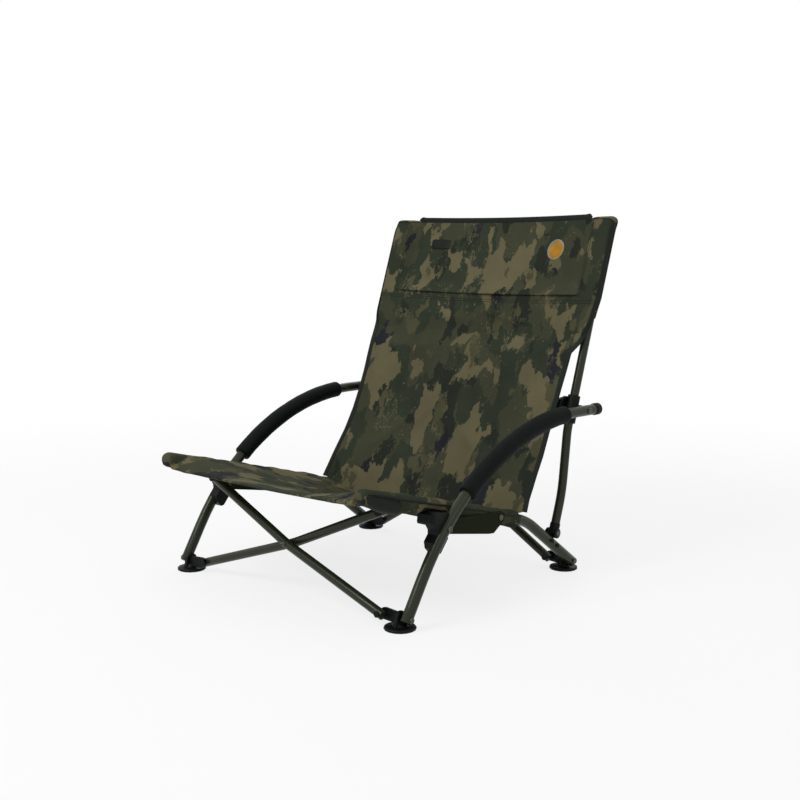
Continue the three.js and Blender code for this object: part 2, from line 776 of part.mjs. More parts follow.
function postBracket() {
  const feet = bracketStuds();
  const outline = hullShape([
    ...circlePoints(post_pivot.y, post_pivot.z, post_bracket_radius),
    ...feet.flatMap((place) => circlePoints(place.y, place.z, post_bracket_radius / 2)),
  ]);
  const inner_x = bracket_outer_x - post_bracket_thickness;
  const plate = cut(acrossX(outline, inner_x, bracket_outer_x), rivetHole(...post_pin_span));
  const head_x = post_foot_on_rail.x + rail_tube_radius + post_bracket_gap;
  const studs = feet.flatMap((place) => [
    rod(vec(bracket_outer_x - fuse_depth, place.y, place.z), vec(head_x + fuse_depth, place.y, place.z), stud_radius),
    rod(vec(head_x, place.y, place.z), vec(head_x + stud_head_height, place.y, place.z), stud_head_radius),
  ]);
  return joined(plate, ...studs);
}

// Back post pieces. Its lower end is rounded about the pivot.
function postEnd(radius, run) {
  const along = rod(
    post_pivot.clone().addScaledVector(post_base_direction, -radius - cut_overrun),
    post_pivot.clone().addScaledVector(post_base_direction, run), radius, tube_sides,
  );
  const round = rod(...acrossTube(post_pivot, radius + cut_overrun), radius, round_sides);
  return geometryOf(solidOf(along).intersect(solidOf(round)));
}

function backPost() {
  return cut(
    joined(tubeAlong(post_line, post_tube_radius), postEnd(post_tube_radius, fuse_depth)),
    rivetHole(...acrossTube(post_pivot, post_tube_radius)),
  );
}

function postShoe() {
  const bore = post_tube_radius + running_gap;
  const radius = bore + post_shoe_wall;
  const toe_radius = post_pivot_rise - rail_tube_radius - running_gap;
  const top = post_pivot.clone().addScaledVector(post_base_direction, post_shoe_run);
  const sleeve = rod(post_pivot, top, radius, round_sides);
  const toe = rod(...acrossTube(post_pivot, radius), toe_radius, round_sides);
  const seat_top = top.clone().addScaledVector(post_base_direction, cut_overrun);
  const seat = rod(post_pivot, seat_top, bore, tube_sides);
  const seat_end = postEnd(bore, fuse_depth);
  return cut(joined(sleeve, toe), joined(seat, seat_end), rivetHole(...post_pin_span));
}

function postTopCap() {
  const outer = post_top.clone().addScaledVector(post_direction, post_cap_wall + running_gap);
  const inner = outer.clone().addScaledVector(post_direction, -post_cap_length);
  const bore = post_tube_radius + running_gap;
  return cup(outer, inner, bore, bore + post_cap_wall, post_cap_wall, post_cap_wall / 2);
}

function armSlider() {
  const half = post_direction.clone().multiplyScalar(slider_length / 2);
  const from = slider_pivot.clone().sub(half);
  const to = slider_pivot.clone().add(half);
  const bore = post_tube_radius + slider_bore_gap;
  const sleeve = rod(from, to, bore + slider_wall, round_sides);
  const disc_end = vec(slider_inner_x + fuse_depth, slider_pivot.y, slider_pivot.z);
  const disc_face = vec(slider_disc_x, slider_pivot.y, slider_pivot.z);
  const depth = disc_end.x - disc_face.x;
  const disc = turned([
    [0, 0], [slider_disc_radius, 0], [slider_disc_radius, depth - slider_disc_rounding],
    [slider_disc_radius - slider_disc_rounding, depth], [0, depth],
  ], disc_face, disc_end);
  const boss_face = vec(arm_rivet_span[0].x - slider_face_gap, slider_pivot.y, slider_pivot.z);
  const boss = rod(slider_pivot, boss_face, slider_boss_radius, round_sides);
  const bore_from = from.clone().addScaledVector(post_direction, -cut_overrun);
  const bore_to = to.clone().addScaledVector(post_direction, cut_overrun);
  return cut(joined(sleeve, disc, boss), rod(bore_from, bore_to, bore, round_sides));
}

// Cloth: a surface over (u, v) given its thickness, closed round the rim
function sheet(surface, across, along) {
  const columns = across.length - 1;
  const rows = along.length - 1;
  const place = (u, v, side) => {
    const probe = normal_probe;
    const wide = surface(u + probe, v).sub(surface(u - probe, v));
    const high = surface(u, v + probe).sub(surface(u, v - probe));
    const normal = wide.cross(high).normalize();
    return surface(u, v).addScaledVector(normal, (side * cloth_thickness) / 2);
  };
  const positions = [];
  const index = [];
  const layer = (columns + 1) * (rows + 1);
  const at = (i, j, back) => back * layer + j * (columns + 1) + i;
  const quad = (a, b, c, d) => index.push(a, b, c, a, c, d);
  [1, -1].forEach((side) => along.forEach((v) => across.forEach((u) => {
    positions.push(...place(u, v, side).toArray());
  })));
  for (let j = 0; j < rows; j += 1) {
    for (let i = 0; i < columns; i += 1) {
      quad(at(i, j, 0), at(i + 1, j, 0), at(i + 1, j + 1, 0), at(i, j + 1, 0));
      quad(at(i, j, 1), at(i, j + 1, 1), at(i + 1, j + 1, 1), at(i + 1, j, 1));
    }
    quad(at(0, j, 0), at(0, j + 1, 0), at(0, j + 1, 1), at(0, j, 1));
    quad(at(columns, j + 1, 0), at(columns, j, 0), at(columns, j, 1), at(columns, j + 1, 1));
  }
  for (let i = 0; i < columns; i += 1) {
    quad(at(i + 1, 0, 0), at(i, 0, 0), at(i, 0, 1), at(i + 1, 0, 1));
    quad(at(i, rows, 0), at(i + 1, rows, 0), at(i + 1, rows, 1), at(i, rows, 1));
  }
  const geometry = new THREE.BufferGeometry();
  geometry.setAttribute('position', new THREE.Float32BufferAttribute(positions, 3));
  geometry.setIndex(index);
  geometry.computeVertexNormals();
  return geometry;
}

const evenSteps = (from, to, count) =>
  Array.from({ length: count + 1 }, (unused, step) => mix(from, to, step / count));
const smooth = (t) => {
  const c = Math.min(Math.max(t, 0), 1);
  return c * c * (3 - 2 * c);
};
const hang = (u) => Math.max(1 - (u / hang_share) ** 2, 0) ** hang_power;

// Seat: lies over the rails at its sides and hangs between them, deepest at the rear crease
function seatSurface(u, v) {
  const y = mix(seat_front_y, seat_rear_y, v);
  const half = railXAt(y) + seat_overhang;
  const folds = seat_fold_height * Math.sin(seat_fold_waves * Math.PI * v) * Math.cos(2 * Math.PI * u) * hang(u);
  const sag = mix(seat_front_sag, seat_rear_sag, smooth(v)) * hang(u);
  return vec(u * half, y, railZAt(y) + seat_lift - sag + folds);
}

// Back edge at a height share: half width, depth and height
function backEdgeAt(up) {
  const last = back_edge_shares.length - 2;
  const above = back_edge_shares.findIndex((row) => row[0] > up);
  const low = above < 0 ? last : Math.max(above - 1, 0);
  const [z0, wide0, deep0] = back_edge_shares[low];
  const [z1, wide1, deep1] = back_edge_shares[low + 1];
  const t = (up - z0) / (z1 - z0);
  return vec(
    mix(wide0, wide1, t) * back_half_width,
    mix(back_bottom_y, back_top_y, mix(deep0, deep1, t)),
    mix(back_bottom_z, back_top_z, up),
  );
}

// Across the back: a quarter turn round the post at each edge, then the span between the posts
function turnAt(u, edge_x) {
  const side = Math.sign(u);
  const wide = Math.abs(u);
  const turning = Math.max((wide - turn_share) / (1 - turn_share), 0);
  const angle = mix(0, Math.PI / 2 - edge_angle, turning);
  const centre_x = edge_x - sleeve_radius;
  const x = wide < turn_share
    ? (wide / turn_share) * centre_x
    : centre_x + sleeve_radius * Math.sin(angle);
  return { x: side * x, reach: Math.cos(angle) };
}

const sleeveMask = (x) => smooth((Math.abs(x) - sleeve_seam_x) / sleeve_seam_width);
const sleeve_depth = sleeve_radius / Math.cos(post_lean);

// Back: its front layer, which passes before the posts in the upper part
function backSurface(u, v) {
  const edge = backEdgeAt(v);
  const { x, reach } = turnAt(u, edge.x);
  const low = (1 - smooth(v / crease_share)) ** 2;
  const folds = back_fold_height * Math.sin(back_fold_waves * Math.PI * v) * Math.cos(Math.PI * u) * hang(u);
  const depth = (back_sag * hang(u) + folds) * (1 - low);
  const cleared = Math.max(edge.y - postYAt(edge.z) + sleeve_depth, 0);
  const head = smooth((v - head_bottom_share) / head_blend_share);
  const shift = mix(cleared, mix(layer_gap, cleared, sleeveMask(x)), head) * reach;
  return vec(
    x,
    edge.y + depth * Math.cos(post_lean) - shift,
    edge.z - mix(depth * Math.sin(post_lean), seat_rear_sag * hang(u), low),
  );
}

// Hood: the rear layer behind the posts, turned over their tops to meet the front layer
function headSurface(u, v) {
  const rise = Math.min(v / hood_turn_share, 1);
  const over = Math.max((v - hood_turn_share) / (1 - hood_turn_share), 0);
  const up = mix(head_bottom_share, 1, rise);
  const edge = backEdgeAt(up);
  const { x, reach } = turnAt(-u, edge.x);
  const head = smooth((up - head_bottom_share) / head_blend_share);
  const layer = mix(layer_gap, sleeve_depth, sleeveMask(x));
  const folds = back_fold_height * Math.sin(back_fold_waves * Math.PI * up) * Math.cos(Math.PI * u) * hang(u);
  const depth = back_sag * hang(u) + folds * head;
  const turn = over * Math.PI;
  const shift = layer * reach * Math.cos(turn);
  const crown = layer * reach * Math.sin(turn) * Math.cos(post_lean) + hood_lift * over;
  return vec(
    x,
    edge.y + depth * Math.cos(post_lean) + shift,
    edge.z - depth * Math.sin(post_lean) + crown,
  );
}

const back_across = [
  ...evenSteps(-1, -turn_share, turn_columns), ...evenSteps(-turn_share, turn_share, back_columns).slice(1, -1),
  ...evenSteps(turn_share, 1, turn_columns),
];

function tipPocket() {
  const bore = tip_plug_radius + pocket_inner_gap;
  const mouth = railAt(rail_tip_y + pocket_length);
  const nose = railAt(rail_tip_y).addScaledVector(rail_direction, -tip_plug_length - 2 * running_gap - pocket_wall);
  return cup(nose, mouth, bore, bore + pocket_wall, pocket_wall, pocket_wall / 2);
}

// Assembly
const chair = new THREE.Group();

function add(name, geometry, finish) {
  const mesh = new THREE.Mesh(geometry, finish);
  mesh.name = name;
  chair.add(mesh);
}

function addPair(name, geometry, finish) {
  add(`${name}_left`, geometry, finish);
  add(`${name}_right`, mirrored(geometry), finish);
}

addPair('leg_arm_tube', legArmTube(), tube_paint);
addPair('arm_grip', armGrip(), foam);
addPair('arm_end_cap', armEndCap(), black_plastic);
addPair('leg_hub', legHub(), black_plastic);
addPair('side_plate', sidePlate(), plate_paint);
addPair('hub_rivet', rivet(...hub_rivet_span), rivet_steel);
addPair('plate_pin', rivet(...plate_pin_span), rivet_steel);
addPair('arm_rivet', headedPin(...arm_rivet_span, arm_rivet_head_radius), rivet_steel);
addPair('front_foot_pin', headedPin(...footPinSpan(leg_pivot, foot_cheek_x0, leg_tube_radius)), rivet_steel);
addPair('seat_rail', seatRail(), tube_paint);
addPair('rail_tip_plug', railTipPlug(), black_plastic);
addPair('rail_collar', railRing(rail_collar_y, rail_collar_length, rail_collar_wall), black_plastic);
addPair('seat_loop', railRing(seat_loop_y, seat_loop_length, seat_loop_wall), webbing);
addPair('post_bracket', postBracket(), plate_paint);
addPair('post_pin', rivet(...post_pin_span), rivet_steel);
addPair('rear_foot_pin', headedPin(...footPinSpan(rear_pivot, rear_cheek_x0, rail_tube_radius)), rivet_steel);
addPair('back_post', backPost(), tube_paint);
addPair('post_shoe', postShoe(), black_plastic);
addPair('post_top_cap', postTopCap(), black_plastic);
addPair('arm_slider', armSlider(), black_plastic);
addPair('tip_pocket', tipPocket(), camo_cloth);

// The left foot's tube lies in front of the right foot's, so each side has its own layer.
// A tube's knuckle stands on the side opposite its foot.
[['left', 'right', 1], ['right', 'left', -1]].forEach(([side, far_side, layer]) => {
  const placed = (geometry) => (layer > 0 ? geometry : mirrored(geometry));
  const front_foot = foot(front_foot_x, 0, foot_cheek_x0, front_cross_foot_x, front_plane, layer);
  const rear_foot = foot(rear_foot_x, rear_foot_y, rear_cheek_x0, rear_cross_foot_x, rear_plane, layer);
  add(`front_foot_${side}`, placed(front_foot), black_plastic);
  add(`rear_foot_${side}`, placed(rear_foot), black_plastic);
  add(`front_cross_tube_${side}`, placed(crossTube(front_cross, layer)), tube_paint);
  add(`rear_cross_tube_${side}`, placed(crossTube(rear_cross, layer)), tube_paint);
  add(`front_knuckle_${far_side}`, placed(frontKnuckle(layer)), black_plastic);
  add(`rear_knuckle_${far_side}`, placed(rearKnuckle(layer)), black_plastic);
});

add('front_cross_rivet', frontCrossRivet(), rivet_steel);
add('rear_cross_rivet', rearCrossRivet(), rivet_steel);
add('seat_panel', sheet(seatSurface, evenSteps(-1, 1, seat_columns), evenSteps(0, 1, seat_rows)), camo_cloth);
add('back_panel', sheet(backSurface, back_across, evenSteps(0, 1, back_rows)), camo_cloth);
add('head_panel', sheet(headSurface, back_across, evenSteps(0, 1, head_rows)), camo_cloth);

// The part's origin: on the ground under the middle of its box
const box = new THREE.Box3().setFromObject(chair);
chair.position.y = -(box.min.y + box.max.y) / 2;

export default chair;
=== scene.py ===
import json

import bmesh
import bpy
import numpy as np
from bpy.props import FloatProperty, FloatVectorProperty, IntProperty, PointerProperty, StringProperty
from bpy.types import Operator, Panel, PropertyGroup
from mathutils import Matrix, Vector


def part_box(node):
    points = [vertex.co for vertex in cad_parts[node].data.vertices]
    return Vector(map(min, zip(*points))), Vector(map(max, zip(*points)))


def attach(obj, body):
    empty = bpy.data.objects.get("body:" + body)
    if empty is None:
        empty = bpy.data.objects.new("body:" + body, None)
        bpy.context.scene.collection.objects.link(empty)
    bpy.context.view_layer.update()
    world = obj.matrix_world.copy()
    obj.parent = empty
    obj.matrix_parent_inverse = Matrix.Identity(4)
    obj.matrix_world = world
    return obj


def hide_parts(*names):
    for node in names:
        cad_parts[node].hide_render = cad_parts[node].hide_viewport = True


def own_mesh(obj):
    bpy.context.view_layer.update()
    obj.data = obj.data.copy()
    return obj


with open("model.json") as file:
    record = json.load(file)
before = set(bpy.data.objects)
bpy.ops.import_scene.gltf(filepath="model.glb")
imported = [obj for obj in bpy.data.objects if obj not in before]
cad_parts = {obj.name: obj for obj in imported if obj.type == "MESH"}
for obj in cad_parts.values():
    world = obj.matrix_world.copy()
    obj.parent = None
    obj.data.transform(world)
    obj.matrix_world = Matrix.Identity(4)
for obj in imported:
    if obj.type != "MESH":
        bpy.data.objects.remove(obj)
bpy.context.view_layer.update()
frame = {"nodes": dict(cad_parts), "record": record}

# A low folding chair: bent steel tube sides, crossed tubes front and rear, and a camouflage sling.
# Meshes are in metres in the frame's own axes. Routes and cloths are written in millimetres from the front feet.

bl_info = {
    "name": "Low Sling Chair Dressing",
    "version": (1, 0, 0),
    "blender": (4, 5, 0),
    "location": "View3D > Sidebar > Chair",
    "description": "Builds the tubes, fittings, cloth and stage of a low folding chair round its frame",
    "category": "Object",
}

MM = 0.001
SIDES = {"left": 1.0, "right": -1.0}
ACROSS = np.array([1.0, 0, 0])

# The frame's origin lies behind the front feet, whose pins stand at y = 0 in the routes below.
FOOT_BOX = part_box("front_foot_left")
FRONT_Y = 0.5 * (FOOT_BOX[0].y + FOOT_BOX[1].y)


class ChairTubeSettings(PropertyGroup):
    leg_radius: FloatProperty(name="Leg tube radius", description="Outer radius of the legs and rails",
                              default=0.0095, min=0.005, unit="LENGTH")
    thin_radius: FloatProperty(name="Thin tube radius", description="Outer radius of posts and crossed tubes",
                               default=0.008, min=0.004, unit="LENGTH")
    grip_radius: FloatProperty(name="Grip radius", description="Outer radius of the foam arm grips",
                               default=0.0155, min=0.01, unit="LENGTH")
    sides: IntProperty(name="Tube sides", description="Faces round each tube", default=40, min=12)


class ChairClothSettings(PropertyGroup):
    thickness: FloatProperty(name="Cloth thickness", description="Thickness of the woven cloth",
                             default=0.0014, min=0.0005, unit="LENGTH")
    binding_width: FloatProperty(name="Binding width", description="Width of the tape over a cloth edge",
                                 default=0.0105, min=0.004, unit="LENGTH")
    stitch_pitch: FloatProperty(name="Stitch pitch", description="Distance from stitch to stitch",
                                default=0.0042, min=0.002, unit="LENGTH")
    stitch_length: FloatProperty(name="Stitch length", description="Length of the thread on top of the cloth",
                                 default=0.003, min=0.001, unit="LENGTH")


class ChairColourSettings(PropertyGroup):
    paint: StringProperty(name="Tube paint", description="sRGB hex of the tube paint", default="282d1d")
    plastic: StringProperty(name="Moulded black", description="sRGB hex of the nylon fittings", default="090d0b")
    foam: StringProperty(name="Foam", description="sRGB hex of the arm grips", default="0c1210")
    ground: StringProperty(name="Cloth ground", description="sRGB hex of the cloth's main green", default="434536")
    tan: StringProperty(name="Cloth tan", description="sRGB hex of the cloth's tan patches", default="68624a")


class ChairStageSettings(PropertyGroup):
    lens: FloatProperty(name="Lens", description="Focal length on a 36 mm sensor", default=53.53, min=10)
    camera_at: FloatVectorProperty(name="Camera place", description="Camera from the front feet", size=3,
                                   default=(1.4650, -1.3291, 0.5906), subtype="TRANSLATION")
    yaw: FloatProperty(name="Yaw", description="Turn of the view about Z", default=np.radians(42.20),
                       subtype="ANGLE")
    pitch: FloatProperty(name="Pitch", description="Downward tilt of the view", default=np.radians(7.32),
                         subtype="ANGLE")


# Meshes. A surface is a pair of points and faces. Moulded edges past EDGE_BREAK degrees are rounded.

EDGE_BREAK = 32.0


def place(points):
    """Points in millimetres from the front feet, as metres in the frame's axes."""
    return np.asarray(points) * MM + np.array([0, FRONT_Y, 0])


def placed(surface):
    """A surface in millimetres from the front feet, as one in metres in the frame's axes."""
    return place(surface[0]), surface[1]


def new_piece(name, surface, body, finish, replaces, smooth=35.0, uv=None):
    """Makes a mesh piece from a surface, with flat places in millimetres as its UV map where they are given."""
    mesh = bpy.data.meshes.new(name)
    mesh.from_pydata(np.asarray(surface[0], float).tolist(), [], [list(map(int, face)) for face in surface[1]])
    mesh.update()
    if uv is not None:
        layer = mesh.uv_layers.new(name="cloth_mm")
        loops = np.zeros(len(mesh.loops), np.int64)
        mesh.loops.foreach_get("vertex_index", loops)
        layer.data.foreach_set("uv", np.asarray(uv, np.float32)[loops].ravel())
    return finished(name, mesh, smooth, body, finish, replaces)


def finished(name, mesh, smooth, body, finish, replaces):
    """Shades a mesh smooth but for edges past an angle in degrees, and makes it a piece that rides on a body."""
    mesh.polygons.foreach_set("use_smooth", np.ones(len(mesh.polygons), bool))
    mesh.set_sharp_from_angle(angle=np.radians(smooth))
    mesh.materials.clear()
    mesh.materials.append(material_of(finish))
    piece = bpy.data.objects.new(name, mesh)
    bpy.context.scene.collection.objects.link(piece)
    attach(piece, body)
    if replaces:
        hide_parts(*replaces)
    return piece


def grid_faces(rows, columns, wrap, base=0):
    """Quads between neighbouring points of a grid, joined round in the second direction when wrap is true."""
    i, j = np.meshgrid(np.arange(rows - 1), np.arange(columns if wrap else columns - 1), indexing="ij")
    k = (j + 1) % columns
    quads = np.stack([i * columns + j, i * columns + k, (i + 1) * columns + k, (i + 1) * columns + j], -1)
    return (quads.reshape(-1, 4) + base).tolist()


def skin(rings):
    """A closed skin over rings of points: quads between the rings and a fan to the middle of each end ring."""
    count, sides, _ = rings.shape
    verts = np.vstack([rings.reshape(-1, 3), rings[0].mean(0), rings[-1].mean(0)])
    j = np.arange(sides)
    k, last = (j + 1) % sides, (count - 1) * sides
    fans = [np.stack([np.full(sides, len(verts) - 2), k, j], -1),
            np.stack([np.full(sides, len(verts) - 1), last + j, last + k], -1)]
    return verts, grid_faces(count, sides, True) + np.vstack(fans).tolist()


def torus_skin(rings):
    """A skin over rings of points that come back to the first ring."""
    count, sides, _ = rings.shape
    faces = np.array(grid_faces(count + 1, sides, True)) % (count * sides)
    return rings.reshape(-1, 3), faces.tolist()


def together(*surfaces):
    """Several surfaces as one."""
    verts, faces, base = [], [], 0
    for v, f in surfaces:
        verts.append(v)
        faces += [[int(i) + base for i in face] for face in f]
        base += len(v)
    return np.vstack(verts), faces


def sided(surface, sign):
    """A left side's surface, or its mirror image for the right side, its faces turned back outwards."""
    verts, faces = surface
    return surface if sign > 0 else (np.asarray(verts) * [-1, 1, 1], [face[::-1] for face in faces])


def unit(v):
    """Vectors along the last axis, each divided by its length."""
    v = np.asarray(v, float)
    return v / np.linalg.norm(v, axis=-1, keepdims=True)


def circle(sides):
    """Angles evenly round a full turn, from nought."""
    return np.linspace(0, 2 * np.pi, sides, endpoint=False)


def boxed(wave, power):
    """A sine or cosine pushed towards 1 and -1 by a power below 1, which squares up the oval that two waves draw."""
    return np.sign(wave) * np.abs(wave) ** power


def swept(path, across, radius, sides):
    """A round bar: each point of the path carries a ring, the radius times cos(t) sideways and sin(t) upwards."""
    along = unit(np.gradient(path, axis=0))
    side = unit(across - (along @ across)[:, None] * along)
    up = np.cross(along, side)
    t = circle(sides)[:, None]
    radius = np.broadcast_to(radius, len(path))[:, None, None]
    return path[:, None] + radius * (np.cos(t) * side[:, None] + np.sin(t) * up[:, None])


def turned(start, end, profile, sides):
    """A turned piece: a profile of (radius, height) pairs carried round the line from start to end."""
    along = unit(end - start)
    across = unit(np.cross(along, ACROSS))
    r, h = np.asarray(profile).T[:, :, None, None]
    t = circle(sides)[:, None]
    return start + h * along + r * (np.cos(t) * across + np.sin(t) * np.cross(along, across))


def rounded(profile, radius, steps=4):
    """A profile whose corners are rounded: each corner becomes a quadratic curve between points a radius away."""
    p = np.asarray(profile, float)
    out = [p[0]]
    t = np.linspace(0, 1, steps + 1)[:, None]
    for before, corner, after in zip(p[:-2], p[1:-1], p[2:]):
        near, far = before - corner, after - corner
        a, b = (corner + arm * min(radius / np.linalg.norm(arm), 0.45) for arm in (near, far))
        out.extend((1 - t) ** 2 * a + 2 * t * (1 - t) * corner + t ** 2 * b)
    out.append(p[-1])
    return np.array(out)


def bent(corners, radii, turn_step=3.0, ends=3):
    """A tube's centreline: straight runs between the corners, and an arc of the given radius at each bend."""
    points, start = [], corners[0]
    for radius, corner, after in zip(radii, corners[1:-1], corners[2:]):
        into, out = unit(corner - start), unit(after - corner)
        turn = np.arccos(np.clip(into @ out, -1, 1))
        setback = radius * np.tan(turn / 2)
        axis = unit(np.cross(into, out))
        centre = corner - setback * into + radius * np.cross(axis, into)
        arm = corner - setback * into - centre
        t = np.linspace(0, turn, max(3, int(np.degrees(turn) / turn_step)))[:, None]
        arc = centre + arm * np.cos(t) + np.cross(axis, arm) * np.sin(t)
        points += [start + (arc[0] - start) * np.linspace(0, 1, ends, endpoint=False)[:, None], arc]
        start = arc[-1]
    points.append(start + (corners[-1] - start) * np.linspace(0, 1, ends + 1)[1:, None])
    return np.vstack(points)


def run_of(path):
    """Distances along a path, from nought at its first point."""
    return np.concatenate([[0], np.cumsum(np.linalg.norm(np.diff(path, axis=0), axis=1))])


def at_run(path, run, values=None):
    """Points of a path at the given distances along it, or other values that go with its points."""
    s, values = run_of(path), path if values is None else values
    return np.stack([np.interp(run, s, values[:, k]) for k in range(values.shape[1])], -1)


def softened_copy(source, width, finish, segments=2):
    """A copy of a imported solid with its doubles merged, flat faces joined and its edges rounded by a bevel."""
    mesh = frame["nodes"][source].data.copy()
    mesh.name = source + "_moulded"
    work = bmesh.new()
    work.from_mesh(mesh)
    bmesh.ops.remove_doubles(work, verts=work.verts, dist=2e-6)
    bmesh.ops.dissolve_limit(work, angle_limit=np.radians(1.0), verts=work.verts, edges=work.edges)
    bmesh.ops.recalc_face_normals(work, faces=work.faces)
    work.to_mesh(mesh)
    work.free()
    while mesh.uv_layers:
        mesh.uv_layers.remove(mesh.uv_layers[0])
    if "custom_normal" in mesh.attributes:
        mesh.attributes.remove(mesh.attributes["custom_normal"])
    body = next(b for b, nodes in frame["record"]["behaviour"]["bodies"].items() if source in nodes)
    piece = finished(mesh.name, mesh, EDGE_BREAK, body, finish, [source])
    bevel = piece.modifiers.new("edge", "BEVEL")
    bevel.width, bevel.segments, bevel.limit_method = width, segments, "ANGLE"
    bevel.angle_limit, bevel.harden_normals = np.radians(EDGE_BREAK), True
    return piece


# Routes of the tubes, in millimetres from the front feet, as the solids have them.

PIN_Z, PAST_PIN = 18.5, 6
ARM_Z, ARM_END_X, ARM_END_Y = 298.8, 288, 503
LEG_FOOT_X, LEG_TOP_X, LEG_BEND = 274.5, 279, 468
LEG_SLOPE = np.radians(58.66)
TIP_X, TIP_Y, TIP_Z = 240, -62, 216
RAIL_BEND_X, RAIL_BEND_Y, RAIL_BEND = 254, 334.7, 120
RAIL_SLOPE = np.tan(np.radians(14.4))
REAR_PIN_X, REAR_PIN_Y = 261, 466
POST_FOOT_RUN, POST_RISE = 87.3, 19
POST_X, POST_BEND_Y, POST_BEND_Z, POST_TOP_Z = 257, 455, 262, 638
POST_KNEE_Y, POST_KNEE_Z, POST_KNEE_BEND, POST_BEND = 441, 150, 260, 115
POST_LEAN = np.radians(18.6)
CROSS_BEND, TOUCH_GAP = 300, 0.3


def rail_x(y):
    """A rail's distance from the middle, which grows evenly from its tip to its bend."""
    return TIP_X + (RAIL_BEND_X - TIP_X) * (y - TIP_Y) / (RAIL_BEND_Y - TIP_Y)


def rail_z(y):
    """A rail's height, which falls evenly from its tip."""
    return TIP_Z - (y - TIP_Y) * RAIL_SLOPE


def post_y(z):
    """A post's distance behind the front feet above its upper bend, on its lean."""
    return POST_BEND_Y + (z - POST_BEND_Z) * np.tan(POST_LEAN)


RAIL_TIP = place([TIP_X, TIP_Y, TIP_Z])
RAIL_CORNER = place([RAIL_BEND_X, RAIL_BEND_Y, rail_z(RAIL_BEND_Y)])
REAR_PIN = place([REAR_PIN_X, REAR_PIN_Y, PIN_Z])
DOWN_REAR = unit(REAR_PIN - RAIL_CORNER)


def leg_route():
    """Leg and arm: straight up its slope from below the foot's pin, one wide bend, then level to the arm's end."""
    up = np.array([0, np.cos(LEG_SLOPE), np.sin(LEG_SLOPE)])
    foot = place([LEG_FOOT_X, 0, PIN_Z]) - PAST_PIN * MM * up
    corner = place([LEG_TOP_X, (ARM_Z - PIN_Z) / np.tan(LEG_SLOPE), ARM_Z])
    return bent([foot, corner, place([ARM_END_X, ARM_END_Y, ARM_Z])], [LEG_BEND * MM])


def rail_route():
    """Seat rail and rear leg: down the seat's slope, one bend, then down past the rear foot's pin."""
    return bent([RAIL_TIP, RAIL_CORNER, REAR_PIN + PAST_PIN * MM * DOWN_REAR], [RAIL_BEND * MM], ends=4)


def post_route():
    """Back post: from its pin above the rear leg, through a soft knee and a bend, then up its lean."""
    foot = RAIL_CORNER + POST_FOOT_RUN * MM * DOWN_REAR
    _, y, z = DOWN_REAR / np.hypot(*DOWN_REAR[1:])
    pin = np.array([POST_X * MM, foot[1] - POST_RISE * MM * z, foot[2] + POST_RISE * MM * y])
    knee, bend = place([POST_X, POST_KNEE_Y, POST_KNEE_Z]), place([POST_X, POST_BEND_Y, POST_BEND_Z])
    return bent([pin, knee, bend, place([POST_X, post_y(POST_TOP_Z), POST_TOP_Z])],
                [POST_KNEE_BEND * MM, POST_BEND * MM], turn_step=1.5, ends=4)


class CrossPair:
    """A crossed pair of tubes: x across the chair, w up their leaning plane, n out of its front."""

    def __init__(self, foot_y, top_y, top_z, foot_x, middle_w, top_x, top_w):
        self.up = unit([0, top_y - foot_y, top_z - PIN_Z])
        self.front = np.cross(ACROSS, self.up)
        self.foot = place([0, foot_y, PIN_Z])
        self.foot_x, self.middle_w, self.top_x, self.top_w = foot_x, middle_w, top_x, top_w

    def at(self, x, w, n):
        """A place in the pair's own directions, in millimetres."""
        return self.foot + MM * (x * ACROSS + w * self.up + n * self.front)

    def route(self, layer, tube_radius):
        """A tube's line from foot to top, in the front or rear layer, with a slight bend at the crossing."""
        n = layer * (tube_radius + TOUCH_GAP)
        start, middle = self.at(self.foot_x * layer, 0, n), self.at(0, self.middle_w, n)
        end = self.at(-self.top_x * layer, self.top_w, n)
        low, high = PAST_PIN * MM * unit(start - middle), PAST_PIN * MM * unit(end - middle)
        return bent([start + low, middle, end + high], [CROSS_BEND * MM], turn_step=1.0, ends=4)


FRONT_FOOT_X, FRONT_TOP_Y, FRONT_REACH = 226, 21.5, 217.4
FRONT_RISE = np.radians(23.2)
FRONT_MID = FRONT_FOOT_X * np.tan(np.radians(18))
FRONT_PAIR = CrossPair(0, FRONT_TOP_Y, rail_z(FRONT_TOP_Y), FRONT_FOOT_X, FRONT_MID,
                       FRONT_REACH * np.cos(FRONT_RISE), FRONT_MID + FRONT_REACH * np.sin(FRONT_RISE))
REAR_FOOT_X = 215
REAR_MID = REAR_FOOT_X * np.tan(np.radians(30.7))
REAR_PAIR = CrossPair(REAR_PIN_Y, post_y(ARM_Z), ARM_Z, REAR_FOOT_X, REAR_MID, REAR_FOOT_X, 2 * REAR_MID)


# Materials. A Wave texture at scale 1 repeats after WAVE_PITCH.

WAVE_PITCH = 0.314


def linear(text, share=1.0):
    """An sRGB hex colour as linear RGBA, times a share of its brightness."""
    c = np.array([int(text[i:i + 2], 16) for i in (0, 2, 4)]) / 255
    c = share * np.where(c <= 0.04045, c / 12.92, ((c + 0.055) / 1.055) ** 2.4)
    return (*c.tolist(), 1.0)


def new_material(name, **values):
    """A material with its tree and its surface shader, whose inputs are set by name with _ for each space."""
    material = bpy.data.materials.new(name)
    material.use_nodes = True
    shader = material.node_tree.nodes["Principled BSDF"]
    for key, value in values.items():
        shader.inputs[key.replace("_", " ")].default_value = value
    return material, material.node_tree, shader


